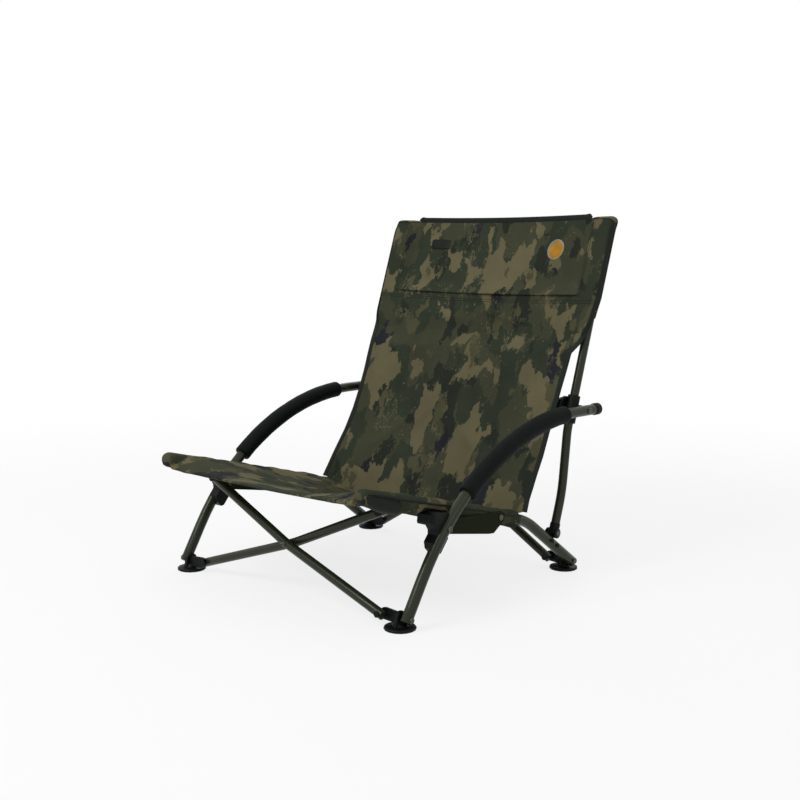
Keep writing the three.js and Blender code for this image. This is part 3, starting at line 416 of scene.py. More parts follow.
def node(tree, kind, links=None, into=None, values=None, **settings):
    """Adds a node: settings are its own fields and values its inputs. Links feed its inputs, each from a socket or
    from a node's first output. Its own first output feeds the socket into, where that is given."""
    made = tree.nodes.new(kind)
    for key, value in settings.items():
        setattr(made, key, value)
    for key, value in (values or {}).items():
        made.inputs[key].default_value = value
    for key, source in (links or {}).items():
        tree.links.new(getattr(source, "outputs", [source])[0], made.inputs[key])
    if into is not None:
        tree.links.new(made.outputs[0], into)
    return made


def mottled(tree, shader, colours, size, detail, rough, marks):
    """Soft blotches: noise of the given size runs between two marks and carries the base colour from one colour to
    the other. Returns the object's coordinates and the noise."""
    where = node(tree, "ShaderNodeTexCoord").outputs["Object"]
    blotches = node(tree, "ShaderNodeTexNoise", {"Vector": where},
                    values={"Scale": 1 / size, "Detail": detail, "Roughness": rough})
    tone = node(tree, "ShaderNodeValToRGB", {"Fac": blotches}, shader.inputs["Base Color"])
    for element, mark, colour in zip(tone.color_ramp.elements, marks, colours):
        element.position, element.color = mark, colour
    return where, blotches


def painted_steel(name, colour, roughness=0.36, coat=0.22):
    """Powder coated steel tube: a satin olive coat with faint orange peel about 2 mm across and small dull marks."""
    material, tree, shader = new_material(name, Specular_IOR_Level=0.55 * coat, Coat_Weight=coat, Coat_Roughness=0.1)
    where, marks = mottled(tree, shader, (linear(colour, 0.86), linear(colour, 1.12)), 26 * MM, 5.0, 0.62,
                           (0.3, 0.72))
    node(tree, "ShaderNodeMapRange", {"Value": marks}, shader.inputs["Roughness"],
         {"From Min": 0.3, "From Max": 0.75, "To Min": roughness - 0.05, "To Max": roughness + 0.1})
    peel = node(tree, "ShaderNodeTexNoise", {"Vector": where},
                values={"Scale": 1 / (2 * MM), "Detail": 2.0, "Roughness": 0.5})
    node(tree, "ShaderNodeBump", {"Height": peel}, shader.inputs["Normal"],
         {"Strength": 0.12, "Distance": 0.15 * MM})
    return material


def moulded_nylon(name, colour):
    """Glass filled nylon, injection moulded: near black, with a fine grain about 0.8 mm across and a soft gloss."""
    material, tree, shader = new_material(name, Specular_IOR_Level=0.12)
    where, dust = mottled(tree, shader, (linear(colour), linear(colour, 1.7)), 18 * MM, 4.0, 0.6, (0.35, 0.8))
    node(tree, "ShaderNodeMapRange", {"Value": dust}, shader.inputs["Roughness"],
         {"From Min": 0.3, "From Max": 0.8, "To Min": 0.42, "To Max": 0.6})
    grain = node(tree, "ShaderNodeTexNoise", {"Vector": where},
                 values={"Scale": 1 / (0.8 * MM), "Detail": 3.0, "Roughness": 0.6})
    node(tree, "ShaderNodeBump", {"Height": grain}, shader.inputs["Normal"], {"Strength": 0.3, "Distance": 0.1 * MM})
    return material


def closed_cell_foam(name, colour):
    """EVA foam sleeve: blue-black, matt, with pores under 1 mm, drawn 1.6 mm across so that they show."""
    material, tree, shader = new_material(name, Roughness=0.7, Specular_IOR_Level=0.08, Sheen_Weight=0.02,
                                          Sheen_Roughness=0.5)
    where, _ = mottled(tree, shader, (linear(colour, 0.82), linear(colour, 1.25)), 30 * MM, 6.0, 0.65, (0.3, 0.75))
    pores = node(tree, "ShaderNodeTexVoronoi", {"Vector": where},
                 values={"Scale": 1 / (1.6 * MM), "Randomness": 1.0})
    node(tree, "ShaderNodeBump", {"Height": pores}, shader.inputs["Normal"],
         {"Strength": 0.35, "Distance": 0.25 * MM})
    return material


def steel_rivet(name, colour, worn):
    """Painted steel rivets: the coat of the tubes, a little worn to metal in small spots here and there."""
    material, tree, shader = new_material(name, Metallic=0.6, Roughness=0.38)
    mottled(tree, shader, (linear(colour), linear(worn)), 3 * MM, 4.0, 0.6, (0.45, 0.7))
    return material


def woven_tape(name, colour, rib_mm):
    """Grosgrain binding and plain woven cloth: matt and dark, its ribs drawn at the given pitch so that they show."""
    material, tree, shader = new_material(name, Roughness=0.8, Specular_IOR_Level=0.2, Sheen_Weight=0.05)
    where, _ = mottled(tree, shader, (linear(colour, 0.8), linear(colour, 1.3)), 22 * MM, 4.0, 0.5, (0.3, 0.75))
    ribs = node(tree, "ShaderNodeTexWave", {"Vector": where}, wave_type="BANDS", bands_direction="DIAGONAL",
                values={"Scale": WAVE_PITCH / (rib_mm * MM), "Distortion": 0.6, "Detail": 1.0})
    node(tree, "ShaderNodeBump", {"Height": ribs.outputs["Fac"]}, shader.inputs["Normal"],
         {"Strength": 0.35, "Distance": 0.25 * MM})
    return material


def patches(tree, where, size, shift, low, edge=0.01, detail=1.6, within=None):
    """A mask of patches: noise of a size in millimetres, looked up at a shifted place and cut off at a low mark,
    times another mask that the patches lie within."""
    moved = node(tree, "ShaderNodeMapping", {"Vector": where}, values={"Location": shift})
    spots = node(tree, "ShaderNodeTexNoise", {"Vector": moved},
                 values={"Scale": 1 / size, "Detail": detail, "Roughness": 0.5})
    links = {"Value": spots} if within is None else {"Value": spots, "To Max": within}
    return node(tree, "ShaderNodeMapRange", links, values={"From Min": low, "From Max": low + edge})


def camo_polyester(name, ground, tan):
    """Printed 600 denier polyester: flat inks in ragged upright patches 40 to 120 mm long, fine reed-like lines and
    a few light specks, and a plain weave. The yarns are 0.6 mm apart and are drawn 1.5 mm apart so that they show."""
    material, tree, shader = new_material(name, Roughness=0.8, Specular_IOR_Level=0.02)
    flat = node(tree, "ShaderNodeUVMap", uv_map="cloth_mm").outputs["UV"]
    where = node(tree, "ShaderNodeMapping", {"Vector": flat},
                 values={"Location": (431.0, 258.0, 0), "Scale": (1.0, 0.6, 1.0)})
    # ragged edges: every patch is looked up at a place that wanders by some 10 mm
    moved = node(tree, "ShaderNodeMapping", {"Vector": where}, values={"Location": (11, 5, 0)})
    wander = node(tree, "ShaderNodeTexNoise", {"Vector": moved},
                  values={"Scale": 1 / 15, "Detail": 4.5, "Roughness": 0.62})
    centred = node(tree, "ShaderNodeVectorMath", {0: wander.outputs["Color"]}, operation="SUBTRACT",
                   values={1: (0.5, 0.5, 0.5)})
    rag = node(tree, "ShaderNodeVectorMath", {0: centred, 2: where}, operation="MULTIPLY_ADD",
               values={1: (29.0, 29.0, 29.0)})
    # reed-like lines and light specks, gathered in drifts
    drift = patches(tree, rag, 64, (-15, 63, 31), 0.57, 0.1, 1.0)
    bed = patches(tree, rag, 24, (51, 8, 3), 0.5, 0.05, within=drift)
    upright = node(tree, "ShaderNodeMapping", {"Vector": rag}, values={"Scale": (1.0, 0.45, 1.0)})
    cells = node(tree, "ShaderNodeTexVoronoi", {"Vector": upright}, feature="DISTANCE_TO_EDGE",
                 values={"Scale": 1 / 8.5, "Randomness": 1.0})
    reeds = node(tree, "ShaderNodeMapRange", {"Value": cells, "To Max": bed},
                 values={"From Min": 0.09, "From Max": 0.04})
    cloud = patches(tree, rag, 58, (70, -63, 11), 0.5, 0.1, 1.0)
    inks = (("363c30", patches(tree, rag, 88, (300, 40, 3), 0.5)),
            ("2d312a", patches(tree, rag, 60, (-90, 210, 8), 0.6)),
            (tan, patches(tree, rag, 72, (40, -130, 1), 0.55, detail=2.4)),
            ("504e3b", patches(tree, rag, 44, (240, -30, 14), 0.64)),
            ("2a2b2f", patches(tree, rag, 66, (-210, -77, 21), 0.655)),
            ("666149", reeds),
            ("6a6753", patches(tree, where, 3.2, (9, 3, 2), 0.775, 0.02, 0.0, cloud)))
    colour = None
    for ink, mask in inks:
        over = node(tree, "ShaderNodeMix", {"Factor": mask, **({6: colour} if colour else {})}, data_type="RGBA",
                    values={6: linear(ground), 7: linear(ink)})
        colour = over.outputs[2]
    # fading and dust: slow changes of brightness over 90 mm
    moved = node(tree, "ShaderNodeMapping", {"Vector": flat}, values={"Location": (70, 18, 40)})
    fade = node(tree, "ShaderNodeTexNoise", {"Vector": moved},
                values={"Scale": 1 / 90, "Detail": 3.0, "Roughness": 0.55})
    level = node(tree, "ShaderNodeMapRange", {"Value": fade},
                 values={"From Min": 0.3, "From Max": 0.7, "To Min": 0.86, "To Max": 1.12})
    node(tree, "ShaderNodeVectorMath", {0: colour, "Scale": level}, shader.inputs["Base Color"], operation="SCALE")
    # weave: two crossed sets of yarns, a little uneven
    warp, weft = (node(tree, "ShaderNodeTexWave", {"Vector": flat}, wave_type="BANDS", bands_direction=way,
                       values={"Scale": WAVE_PITCH / 1.5, "Distortion": 0.0, "Detail": 0.0}).outputs["Fac"]
                  for way in "XY")
    yarns = node(tree, "ShaderNodeMath", {0: warp, 1: weft}, operation="ADD")
    moved = node(tree, "ShaderNodeMapping", {"Vector": flat}, values={"Location": (4, 9, 5)})
    slub = node(tree, "ShaderNodeTexNoise", {"Vector": moved},
                values={"Scale": 1 / 5, "Detail": 3.0, "Roughness": 0.6})
    height = node(tree, "ShaderNodeMath", {0: yarns, 1: slub}, operation="ADD")
    node(tree, "ShaderNodeBump", {"Height": height}, shader.inputs["Normal"],
         {"Strength": 0.25, "Distance": 0.2 * MM})
    return material


MATERIALS = {}


def material_of(key):
    """The chair's finishes, each made once."""
    colours = bpy.context.scene.chair_colours
    if key not in MATERIALS:
        maker, *settings = {
            "tube": (painted_steel, "olive_powder_coated_steel", colours.paint),
            "plate": (painted_steel, "olive_painted_steel_plate", "1e2213", 0.6, 0.04),
            "nylon": (moulded_nylon, "black_glass_filled_nylon", colours.plastic),
            "foam": (closed_cell_foam, "blue_black_eva_foam", colours.foam),
            "rivet": (steel_rivet, "painted_steel_rivet", "34372a", "6a6c62"),
            "camo": (camo_polyester, "camo_polyester", colours.ground, colours.tan),
            "tape": (woven_tape, "dark_green_grosgrain", "171d16", 1.6),
            "pocket": (woven_tape, "dark_green_polyester", "141a15", 1.5),
            # thread colour for the back's stitches, and for the seat's seam tube, where it is partly painted shade
            "thread": (woven_tape, "dark_green_thread", "0d100c", 0.8),
            "label": (moulded_nylon, "black_rubber_tab", "0b0e0d"),
            "patch": (woven_tape, "plain_orange_patch", "ab7a24", 1.2),
            "patch_rim": (woven_tape, "pale_patch_rim", "8f8e85", 1.0),
        }[key]
        MATERIALS[key] = maker(*settings)
    return MATERIALS[key]


# Tubes, grips and fittings.


TUBE_LIP = 0.9 * MM


def capped_tube(path, across, radius, sides):
    """A tube with slightly rounded ends: the radius eases in over the lip at both ends."""
    s = run_of(path)
    cuts = np.array([0, 0.15, 0.5, 1.0]) * TUBE_LIP
    run = np.unique(np.concatenate([cuts, s[(s > TUBE_LIP) & (s < s[-1] - TUBE_LIP)], s[-1] - cuts]))
    ease = np.clip(1 - np.minimum(run, s[-1] - run) / TUBE_LIP, 0, 1)
    return skin(swept(at_run(path, run), across, radius - TUBE_LIP * (1 - np.sqrt(1 - ease ** 2)), sides))


class CHAIR_OT_tubes(Operator):
    """Bent steel tubes of both sides: leg with arm, seat rail with rear leg, and back post."""
    bl_idname = "chair.tubes"
    bl_label = "Side tubes"

    def execute(self, context):
        sizes = context.scene.chair_tubes
        routes = {"leg_arm_tube": (leg_route(), sizes.leg_radius, "side"),
                  "seat_rail": (rail_route(), sizes.leg_radius, "rail"),
                  "back_post": (post_route(), sizes.thin_radius, "post")}
        for side, sign in SIDES.items():
            for name, (route, radius, body) in routes.items():
                tube = sided(capped_tube(route, ACROSS, radius, sizes.sides), sign)
                new_piece(f"{name}_{side}_smooth", tube, f"{body}_{side}", "tube", [f"{name}_{side}"])
        return {"FINISHED"}


class CHAIR_OT_crossed_tubes(Operator):
    """The two crossed pairs: straight at the rear, with a slight bend at the crossing in front."""
    bl_idname = "chair.crossed_tubes"
    bl_label = "Crossed tubes"

    def execute(self, context):
        sizes = context.scene.chair_tubes
        for end, pair in (("front", FRONT_PAIR), ("rear", REAR_PAIR)):
            for side, sign in SIDES.items():
                name = f"{end}_cross_tube_{side}"
                route = pair.route(sign, sizes.thin_radius / MM)
                tube = capped_tube(route, pair.front, sizes.thin_radius, sizes.sides)
                new_piece(name + "_smooth", tube, f"{end}_cross_{side}", "tube", [name])
        return {"FINISHED"}


GRIP_START, GRIP_STOP, GRIP_EDGE, GRIP_SIDES = 232.7 * MM, 522.8 * MM, 3.5 * MM, 48


class CHAIR_OT_grips(Operator):
    """Foam sleeves on the arms: a thick tube with softly rounded ends, a trace uneven as foam is."""
    bl_idname = "chair.grips"
    bl_label = "Arm grips"

    def execute(self, context):
        sizes = context.scene.chair_tubes
        route = leg_route()
        lip = GRIP_EDGE * (1 - np.cos(np.linspace(0, np.pi / 2, 6)))
        middle = np.arange(GRIP_START + GRIP_EDGE + 4 * MM, GRIP_STOP - GRIP_EDGE, 6 * MM)
        run = np.concatenate([GRIP_START + lip, middle, GRIP_STOP - lip[::-1]])
        depth = np.minimum(run - GRIP_START, GRIP_STOP - run)
        ease = np.clip(1 - depth / GRIP_EDGE, 0, 1)
        waver = 0.12 * MM * np.sin(run / (23 * MM)) + 0.1 * MM * np.sin(run / (9.1 * MM) + 1)
        radius = sizes.grip_radius - GRIP_EDGE * (1 - np.sqrt(1 - ease ** 2)) + waver * (depth > GRIP_EDGE)
        outer = swept(at_run(route, run), ACROSS, radius, GRIP_SIDES)
        lining = swept(at_run(route, np.linspace(GRIP_START, GRIP_STOP, 40)), ACROSS, sizes.leg_radius + 0.2 * MM,
                       GRIP_SIDES)
        for side, sign in SIDES.items():
            sleeve = sided(torus_skin(np.concatenate([outer, lining[::-1]])), sign)
            piece = new_piece(f"arm_grip_{side}_foam", sleeve, f"side_{side}", "foam", [f"arm_grip_{side}"])
        return {"FINISHED"}


# Fittings and the width of their rounded edges in millimetres.
MOULDED = {"leg_hub": 1.4, "arm_slider": 0.8, "post_shoe": 0.3, "front_foot": 0.7, "rear_foot": 0.7,
           "front_knuckle": 0.8, "rear_knuckle": 0.8, "arm_end_cap": 0.5, "post_top_cap": 0.4, "rail_tip_plug": 0.5,
           "rail_collar": 0.5}
STEEL = {"side_plate": 0.5, "post_bracket": 0.5}


def cut_back(places):
    """The plate's lower edge raised by 5 mm, and its lower rear corner drawn 9 mm forward."""
    bottom = np.clip((122 * MM - places[:, 2]) / (12 * MM), 0, 1)
    rear = np.clip((places[:, 1] + 45 * MM) / (30 * MM), 0, 1)
    places[:, 2] += 5 * MM * bottom
    places[:, 1] -= 9 * MM * bottom * rear
    return places


def slimmed(places):
    """The hub's lobes drawn in towards the leg tube's axis, beyond the wall that holds the tube: to two thirds in
    front, and behind to a third low down and to four fifths above."""
    axis_y = FRONT_Y + (places[:, 2] - PIN_Z * MM) / np.tan(LEG_SLOPE)
    off = places[:, 1] - axis_y
    wall = 17 * MM
    share = np.where(off < 0, 0.66, np.where(places[:, 2] < 140 * MM, 0.35, 0.8))
    lobe = np.clip(np.abs(off) - wall, 0, None)
    places[:, 1] = axis_y + np.sign(off) * (np.minimum(np.abs(off), wall) + share * lobe)
    return places


class CHAIR_OT_fittings(Operator):
    """Moulded fittings and steel plates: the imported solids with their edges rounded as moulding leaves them."""
    bl_idname = "chair.fittings"
    bl_label = "Fittings"

    def execute(self, context):
        reshaped = {"leg_hub": slimmed, "side_plate": cut_back}
        for side in SIDES:
            for names, slot, finish in ((MOULDED, "black_plastic", "nylon"), (STEEL, "plate_paint", "plate")):
                for name, width in names.items():
                    mesh = softened_copy(f"{name}_{side}", width * MM, finish).data
                    if name in reshaped:
                        places = np.empty(len(mesh.vertices) * 3)
                        mesh.vertices.foreach_get("co", places)
                        mesh.vertices.foreach_set("co", reshaped[name](places.reshape(-1, 3)).ravel())
                        mesh.update()
        return {"FINISHED"}


class CHAIR_OT_rivets(Operator):
    """Rivets and pins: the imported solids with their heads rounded."""
    bl_idname = "chair.rivets"
    bl_label = "Rivets"

    def execute(self, context):
        pairs = ("hub_rivet", "plate_pin", "arm_rivet", "front_foot_pin", "post_pin", "rear_foot_pin")
        names = [f"{pair}_{side}" for pair in pairs for side in SIDES]
        for name in names + ["front_cross_rivet", "rear_cross_rivet"]:
            softened_copy(name, 0.7 * MM, "rivet", 3)
        return {"FINISHED"}


# Cloth forms, the same formulas as the solids', in millimetres from the front feet. u runs across the chair from -1
# to 1, and v along it from 0 to 1. Shares are of those, and each edge row is a height, a width and a depth.

HANG_SHARE, HANG_POWER = 0.93, 1.3
BACK_HALF, BACK_Y0, BACK_Y1, BACK_Z0, BACK_Z1 = 270, 341.4, 584.2, 129, 643
EDGE_SHARES = np.array([
    [0, 0.948, -0.026], [0.041, 0.937, 0.021], [0.08, 0.933, 0.073], [0.12, 0.927, 0.127],
    [0.177, 0.92, 0.208], [0.255, 0.912, 0.296], [0.333, 0.911, 0.373], [0.41, 0.915, 0.443],
    [0.469, 0.922, 0.493], [0.527, 0.926, 0.542], [0.566, 0.963, 0.624], [0.605, 0.981, 0.678],
    [0.644, 0.993, 0.723], [0.683, 0.996, 0.76], [0.716, 1, 0.793], [1, 1, 1]])
TURN_SHARE, SLEEVE_RADIUS, EDGE_ANGLE = 0.9, 11.5, np.radians(9)
HEAD_SHARE, HEAD_BLEND, LAYER_GAP = 0.716, 0.06, 1.7
SEAM_X, SEAM_WIDTH, CORNER_RADIUS = 208, 24, 12.0
BACK_SAG, BACK_FOLD, FOOT_SHARE, FOOT_DROP = 20, 2.6, 0.3, 44
PLEAT_SHARE, PLEAT_RISE, PLEAT_FADE, PLEAT_HEIGHT, PLEAT_REST = 0.012, 0.0045, 0.03, 5.4, 2.6
HOOD_TURN, HOOD_LOW, HOOD_CROWN, HOOD_LIFT = 0.7, 0.07, 3.6, 1.1

SPAN_SHARE, RAIL_SHARE, RAIL_WRAP, RAIL_STRIP, RUFFLE = 0.86, 0.93, 13.3, 17.0, 0.55
NOSE_SHARE, NOSE_Y, NOSE_REACH, NOSE_LIP, NOSE_TUCK = 0.06, -56.0, 14.6, 12.5, 13
NOSE_TURN, WELT_ANGLE, HUB_ANGLE = 150, 62, 96
POCKET_Y, HUB_Y, HUB_END_Y, SLEEVE_END_Y, SEAT_END_Y = 2, 50, 134, 300, 340.6
SEAT_SAG, SEAT_SAG_REAR, SEAT_FOLD, HEM_SHARE, HEM_SAG = 27, 17, 2.4, 0.17, 3.5

# Soft creases: a centre (u, v), an angle, a length, a width and a height in millimetres.
SEAT_CREASES = [
    (0.78, 0.1, 62, 60, 9, -2.2), (-0.8, 0.12, 118, 60, 9, -2.0), (0.72, 0.55, 80, 70, 10, -1.6),
    (-0.7, 0.6, 98, 80, 11, -1.8), (0.3, 0.93, 8, 70, 8, -2.0), (-0.35, 0.9, -10, 80, 9, -2.2),
    (0.05, 0.78, 4, 90, 12, 1.8), (0.62, 0.86, 35, 45, 7, 1.8), (-0.62, 0.84, -35, 50, 7, 1.8),
]
BACK_CREASES = [
    (-0.5, 0.2, 40, 70, 8, -3.0), (-0.2, 0.3, 46, 60, 7, -2.2), (0.35, 0.17, -30, 60, 8, -2.6),
    (0.12, 0.655, -14, 22, 4, -5.5), (0.34, 0.632, -4, 26, 3.5, -5.0), (-0.35, 0.64, -6, 60, 6, -2.0),
    (-0.9, 0.43, -32, 34, 6, -5.5), (0.88, 0.52, 62, 34, 7, -3.4), (0.75, 0.33, 74, 60, 9, -1.6),
    (-0.75, 0.3, 104, 70, 10, -1.8), (0.0, 0.1, 3, 110, 10, -2.0), (0.55, 0.08, 20, 60, 8, 2.0),
    (-0.84, 0.655, -50, 24, 5, -5.0), (-0.95, 0.36, -20, 20, 5, -4.0), (0.55, 0.73, 3, 60, 4, -1.6),
    (-0.1, 0.93, 2, 120, 12, -1.2),
]


def smooth(t):
    """From 0 to 1 as t does, with level ends: 3 t squared less 2 t cubed."""
    c = np.clip(t, 0, 1)
    return c * c * (3 - 2 * c)


def hang(u):
    """How far a sling hangs across its width: 1 - u squared to a power, and nothing past the rails."""
    return np.maximum(1 - (u / HANG_SHARE) ** 2, 0) ** HANG_POWER


def creases(u, v, rows):
    """The sum of soft creases: each is its height times a bell curve along it and a narrow one across it."""
    total = np.zeros(np.broadcast(u, v).shape)
    for cu, cv, angle, length, width, height in rows:
        a = np.radians(angle)
        du, dv = (u - cu) * 250, (v - cv) * 500
        along, across = du * np.cos(a) + dv * np.sin(a), -du * np.sin(a) + dv * np.cos(a)
        total += height * np.exp(-(along / length) ** 2 - (across / width) ** 2)
    return total


def seat_form(u, v):
    """Seat: hung between the rails by (1 - x squared) to a power, deeper to the rear, with slow waves and small
    creases. Its sides pass over the rails on a circle: to the side seam outside at first, and from behind the
    pockets on under the rails too. In front it turns down over each rail's tip on an arc, and its hem between the
    tips is level with their underside. Its rear meets the back's lower edge."""
    turn = np.radians(NOSE_TURN) * (1 - np.clip(v / NOSE_SHARE, 0, 1))
    behind = np.clip(v - NOSE_SHARE, 0, 1) / (1 - NOSE_SHARE)
    y = NOSE_Y + (SEAT_END_Y - NOSE_Y) * behind - NOSE_TUCK * np.sin(turn)
    rail = rail_x(y)
    # round the rail: an angle from its top, which stays above the hubs and runs out at the sleeve's end
    hug = RAIL_WRAP + RUFFLE * smooth((y + 20) / 60) * (2 + np.sin(y / 15 + 1) + np.sin(y / 6.7 + 2 * np.sign(u)))
    at_hub = smooth((y - HUB_Y) / 10) - smooth((y - HUB_END_Y) / 10)
    under = (180 - WELT_ANGLE) * smooth((y - POCKET_Y) / 12)
    full = WELT_ANGLE + under * (1 - at_hub) + (HUB_ANGLE - WELT_ANGLE) * at_hub
    kept = 1 - 0.96 * smooth((y - SLEEVE_END_Y) / 12)
    wide = np.abs(u)
    wrap = np.radians(full) * np.clip((wide - RAIL_SHARE) / (1 - RAIL_SHARE), 0, 1) * kept
    strip = RAIL_STRIP * kept * (wide - SPAN_SHARE) / (RAIL_SHARE - SPAN_SHARE)
    x = np.where(wide < SPAN_SHARE, wide / SPAN_SHARE * (rail - RAIL_STRIP), rail - RAIL_STRIP + np.where(
        wide < RAIL_SHARE, strip, RAIL_STRIP * kept + hug * np.sin(wrap)))
    # the hanging middle, which meets the back's lower edge behind
    rear = smooth((v - 0.55) / 0.45)
    drape = hang(np.minimum(x / (rail + 7), 1)) * (1 - rear) + hang(np.minimum(x / 280, 1)) * rear
    folds = SEAT_FOLD * np.sin(3 * np.pi * v) * np.cos(2 * np.pi * x / (rail + 7)) * drape * (1 - rear)
    level = hug - (SEAT_SAG + SEAT_SAG_REAR * smooth(v)) * drape + folds + 3.0 * smooth((v - 0.9) / 0.1)
    # the front: round over each tip, and down to a straight hem between them
    inside = np.clip(rail - x, 0, None)
    flank = np.maximum(np.sqrt(RAIL_WRAP ** 2 - np.minimum(inside, RAIL_WRAP) ** 2), 1.5)
    tip = 1 - smooth((inside - 12.2) / 4.2)
    low = -NOSE_LIP - HEM_SAG * (1 - np.clip(x / rail, 0, 1) ** 2) + 1.5 * (np.cos(turn) - 1)
    front = flank * tip + low * (1 - tip)
    level = np.where(wide < RAIL_SHARE, level + (front - level) * (1 - smooth(v / HEM_SHARE)),
                     hug * np.cos(wrap) * kept + level * (1 - kept))
    level = level + creases(u, v, SEAT_CREASES) * np.clip(1.6 * drape, 0, 1)
    top = np.where(wide < RAIL_SHARE, flank, RAIL_WRAP * np.cos(wrap))
    nose_y = NOSE_Y - NOSE_REACH * np.clip(top / RAIL_WRAP, 0.3, 1) ** 0.5 * np.sin(turn)
    nose_level = np.where(turn < np.pi / 2, top, NOSE_LIP) * np.cos(turn)
    nosed = tip * (v < NOSE_SHARE)
    y = y + (nose_y - y) * nosed
    return np.stack([np.sign(u) * x, y, rail_z(y) + level + (nose_level - level) * nosed], -1)


def back_edge(up):
    """The back's edge at a height: its distance from the middle, its place behind the front feet and its height."""
    wide, deep = (np.interp(up, EDGE_SHARES[:, 0], EDGE_SHARES[:, k]) for k in (1, 2))
    return wide * BACK_HALF, BACK_Y0 + (BACK_Y1 - BACK_Y0) * deep, BACK_Z0 + (BACK_Z1 - BACK_Z0) * up


def back_turn(u, edge_x):
    """Across the back: straight between the posts, then a quarter turn round each post."""
    wide = np.abs(u)
    angle = (np.pi / 2 - EDGE_ANGLE) * np.clip((wide - TURN_SHARE) / (1 - TURN_SHARE), 0, None)
    centre = edge_x - SLEEVE_RADIUS
    x = np.where(wide < TURN_SHARE, wide / TURN_SHARE * centre, centre + SLEEVE_RADIUS * np.sin(angle))
    return np.sign(u) * x, np.cos(angle)


def sleeve_mask(x):
    """0 between the two post sleeves and 1 on them."""
    return smooth((np.abs(x) - SEAM_X) / SEAM_WIDTH)


def back_folds(u, up):
    """Slow waves up the back, strongest in its middle."""
    return BACK_FOLD * np.sin(5 * np.pi * up) * np.cos(np.pi * u) * hang(u)


def top_line(u, up, x, edge_x):
    """How the top edge departs from level: up in its middle, and down on a quarter circle at its outer corners."""
    past = np.clip(np.abs(x) - edge_x + CORNER_RADIUS, 0, CORNER_RADIUS)
    corner = CORNER_RADIUS - np.sqrt(CORNER_RADIUS ** 2 - past ** 2)
    return 2.5 * smooth((up - 0.86) / 0.14) * hang(u) - corner * smooth((up - 0.95) / 0.05)


def back_form(u, v):
    """Back: hung between its edges, turned down into the seat's crease below, and laid before the posts above, where
    a pleat stands over the head part's seam and falls off upwards as an exponential does."""
    edge_x, edge_y, edge_z = back_edge(v)
    x, reach = back_turn(u, edge_x)
    low = (1 - smooth(v / FOOT_SHARE)) ** 2
    depth = (BACK_SAG * hang(u) + back_folds(u, v)) * (1 - low)
    cleared = np.maximum(edge_y - post_y(edge_z) + SLEEVE_RADIUS / np.cos(POST_LEAN), 0)
    middle = 1 - sleeve_mask(x)
    over = v - HEAD_SHARE - PLEAT_SHARE
    fall = PLEAT_HEIGHT * np.exp(-np.clip(over - PLEAT_RISE, 0, None) / PLEAT_FADE)
    pleat = smooth(over / PLEAT_RISE) * (PLEAT_REST * smooth((1 - v) / 0.2) + fall)
    pleat = pleat * (0.85 + 0.15 * np.sin(9 * u + 1))
    head = smooth((v - HEAD_SHARE) / HEAD_BLEND) * middle
    shift = (cleared + head * (LAYER_GAP - cleared)) * reach + pleat * middle
    shift = shift - creases(u, v, BACK_CREASES) * np.clip(2 * hang(u), 0, 1)
    y = edge_y + depth * np.cos(POST_LEAN) - shift
    z = edge_z - depth * np.sin(POST_LEAN) * (1 - low) - FOOT_DROP * hang(u) * low
    return np.stack([x, y, z + top_line(u, v, x, edge_x)], -1)


def hood_form(u, v):
    """Hood: the layer behind the posts, turned over their tops on a half circle to meet the front layer."""
    rise, over = np.clip(v / HOOD_TURN, 0, 1), np.clip((v - HOOD_TURN) / (1 - HOOD_TURN), 0, 1)
    up = HEAD_SHARE + (1 - HEAD_SHARE) * rise - HOOD_LOW * smooth((np.abs(u) - 0.84) / 0.16) * (1 - rise)
    edge_x, edge_y, edge_z = back_edge(up)
    x, reach = back_turn(-u, edge_x)
    on_sleeve = sleeve_mask(x)
    depth = BACK_SAG * hang(u) + back_folds(u, up) * smooth((up - HEAD_SHARE) / HEAD_BLEND)
    layer = LAYER_GAP + (SLEEVE_RADIUS / np.cos(POST_LEAN) - LAYER_GAP) * on_sleeve
    crown = LAYER_GAP + (HOOD_CROWN - LAYER_GAP) * on_sleeve
    y = edge_y + depth * np.cos(POST_LEAN) + layer * reach * np.cos(over * np.pi)
    z = edge_z - depth * np.sin(POST_LEAN) + crown * np.sin(over * np.pi) + HOOD_LIFT * over
    return np.stack([x, y, z + top_line(u, up, x, edge_x)], -1)


def lifted(form, u, v, lift):
    """Points off the front of a form by a lift in millimetres, with its unit normals from differences both ways."""
    e = 1e-3
    normal = unit(np.cross(form(u + e, v) - form(u - e, v), form(u, v + e) - form(u, v - e)))
    return form(u, v) + normal * np.expand_dims(lift, -1), normal


def cloth_uv(points):
    """Flat places of a cloth in millimetres: distance along each row from its middle, and mean distance up."""
    across = np.linalg.norm(np.diff(points, axis=1), axis=-1)
    u = np.concatenate([np.zeros((len(points), 1)), np.cumsum(across, 1)], 1)
    u = u - u[:, [u.shape[1] // 2]]
    up = np.linalg.norm(np.diff(points, axis=0), axis=-1)
    v = np.concatenate([np.zeros((1, points.shape[1])), np.cumsum(up, 0)], 0)
    return np.stack([u, np.broadcast_to(v.mean(1, keepdims=True), u.shape)], -1)


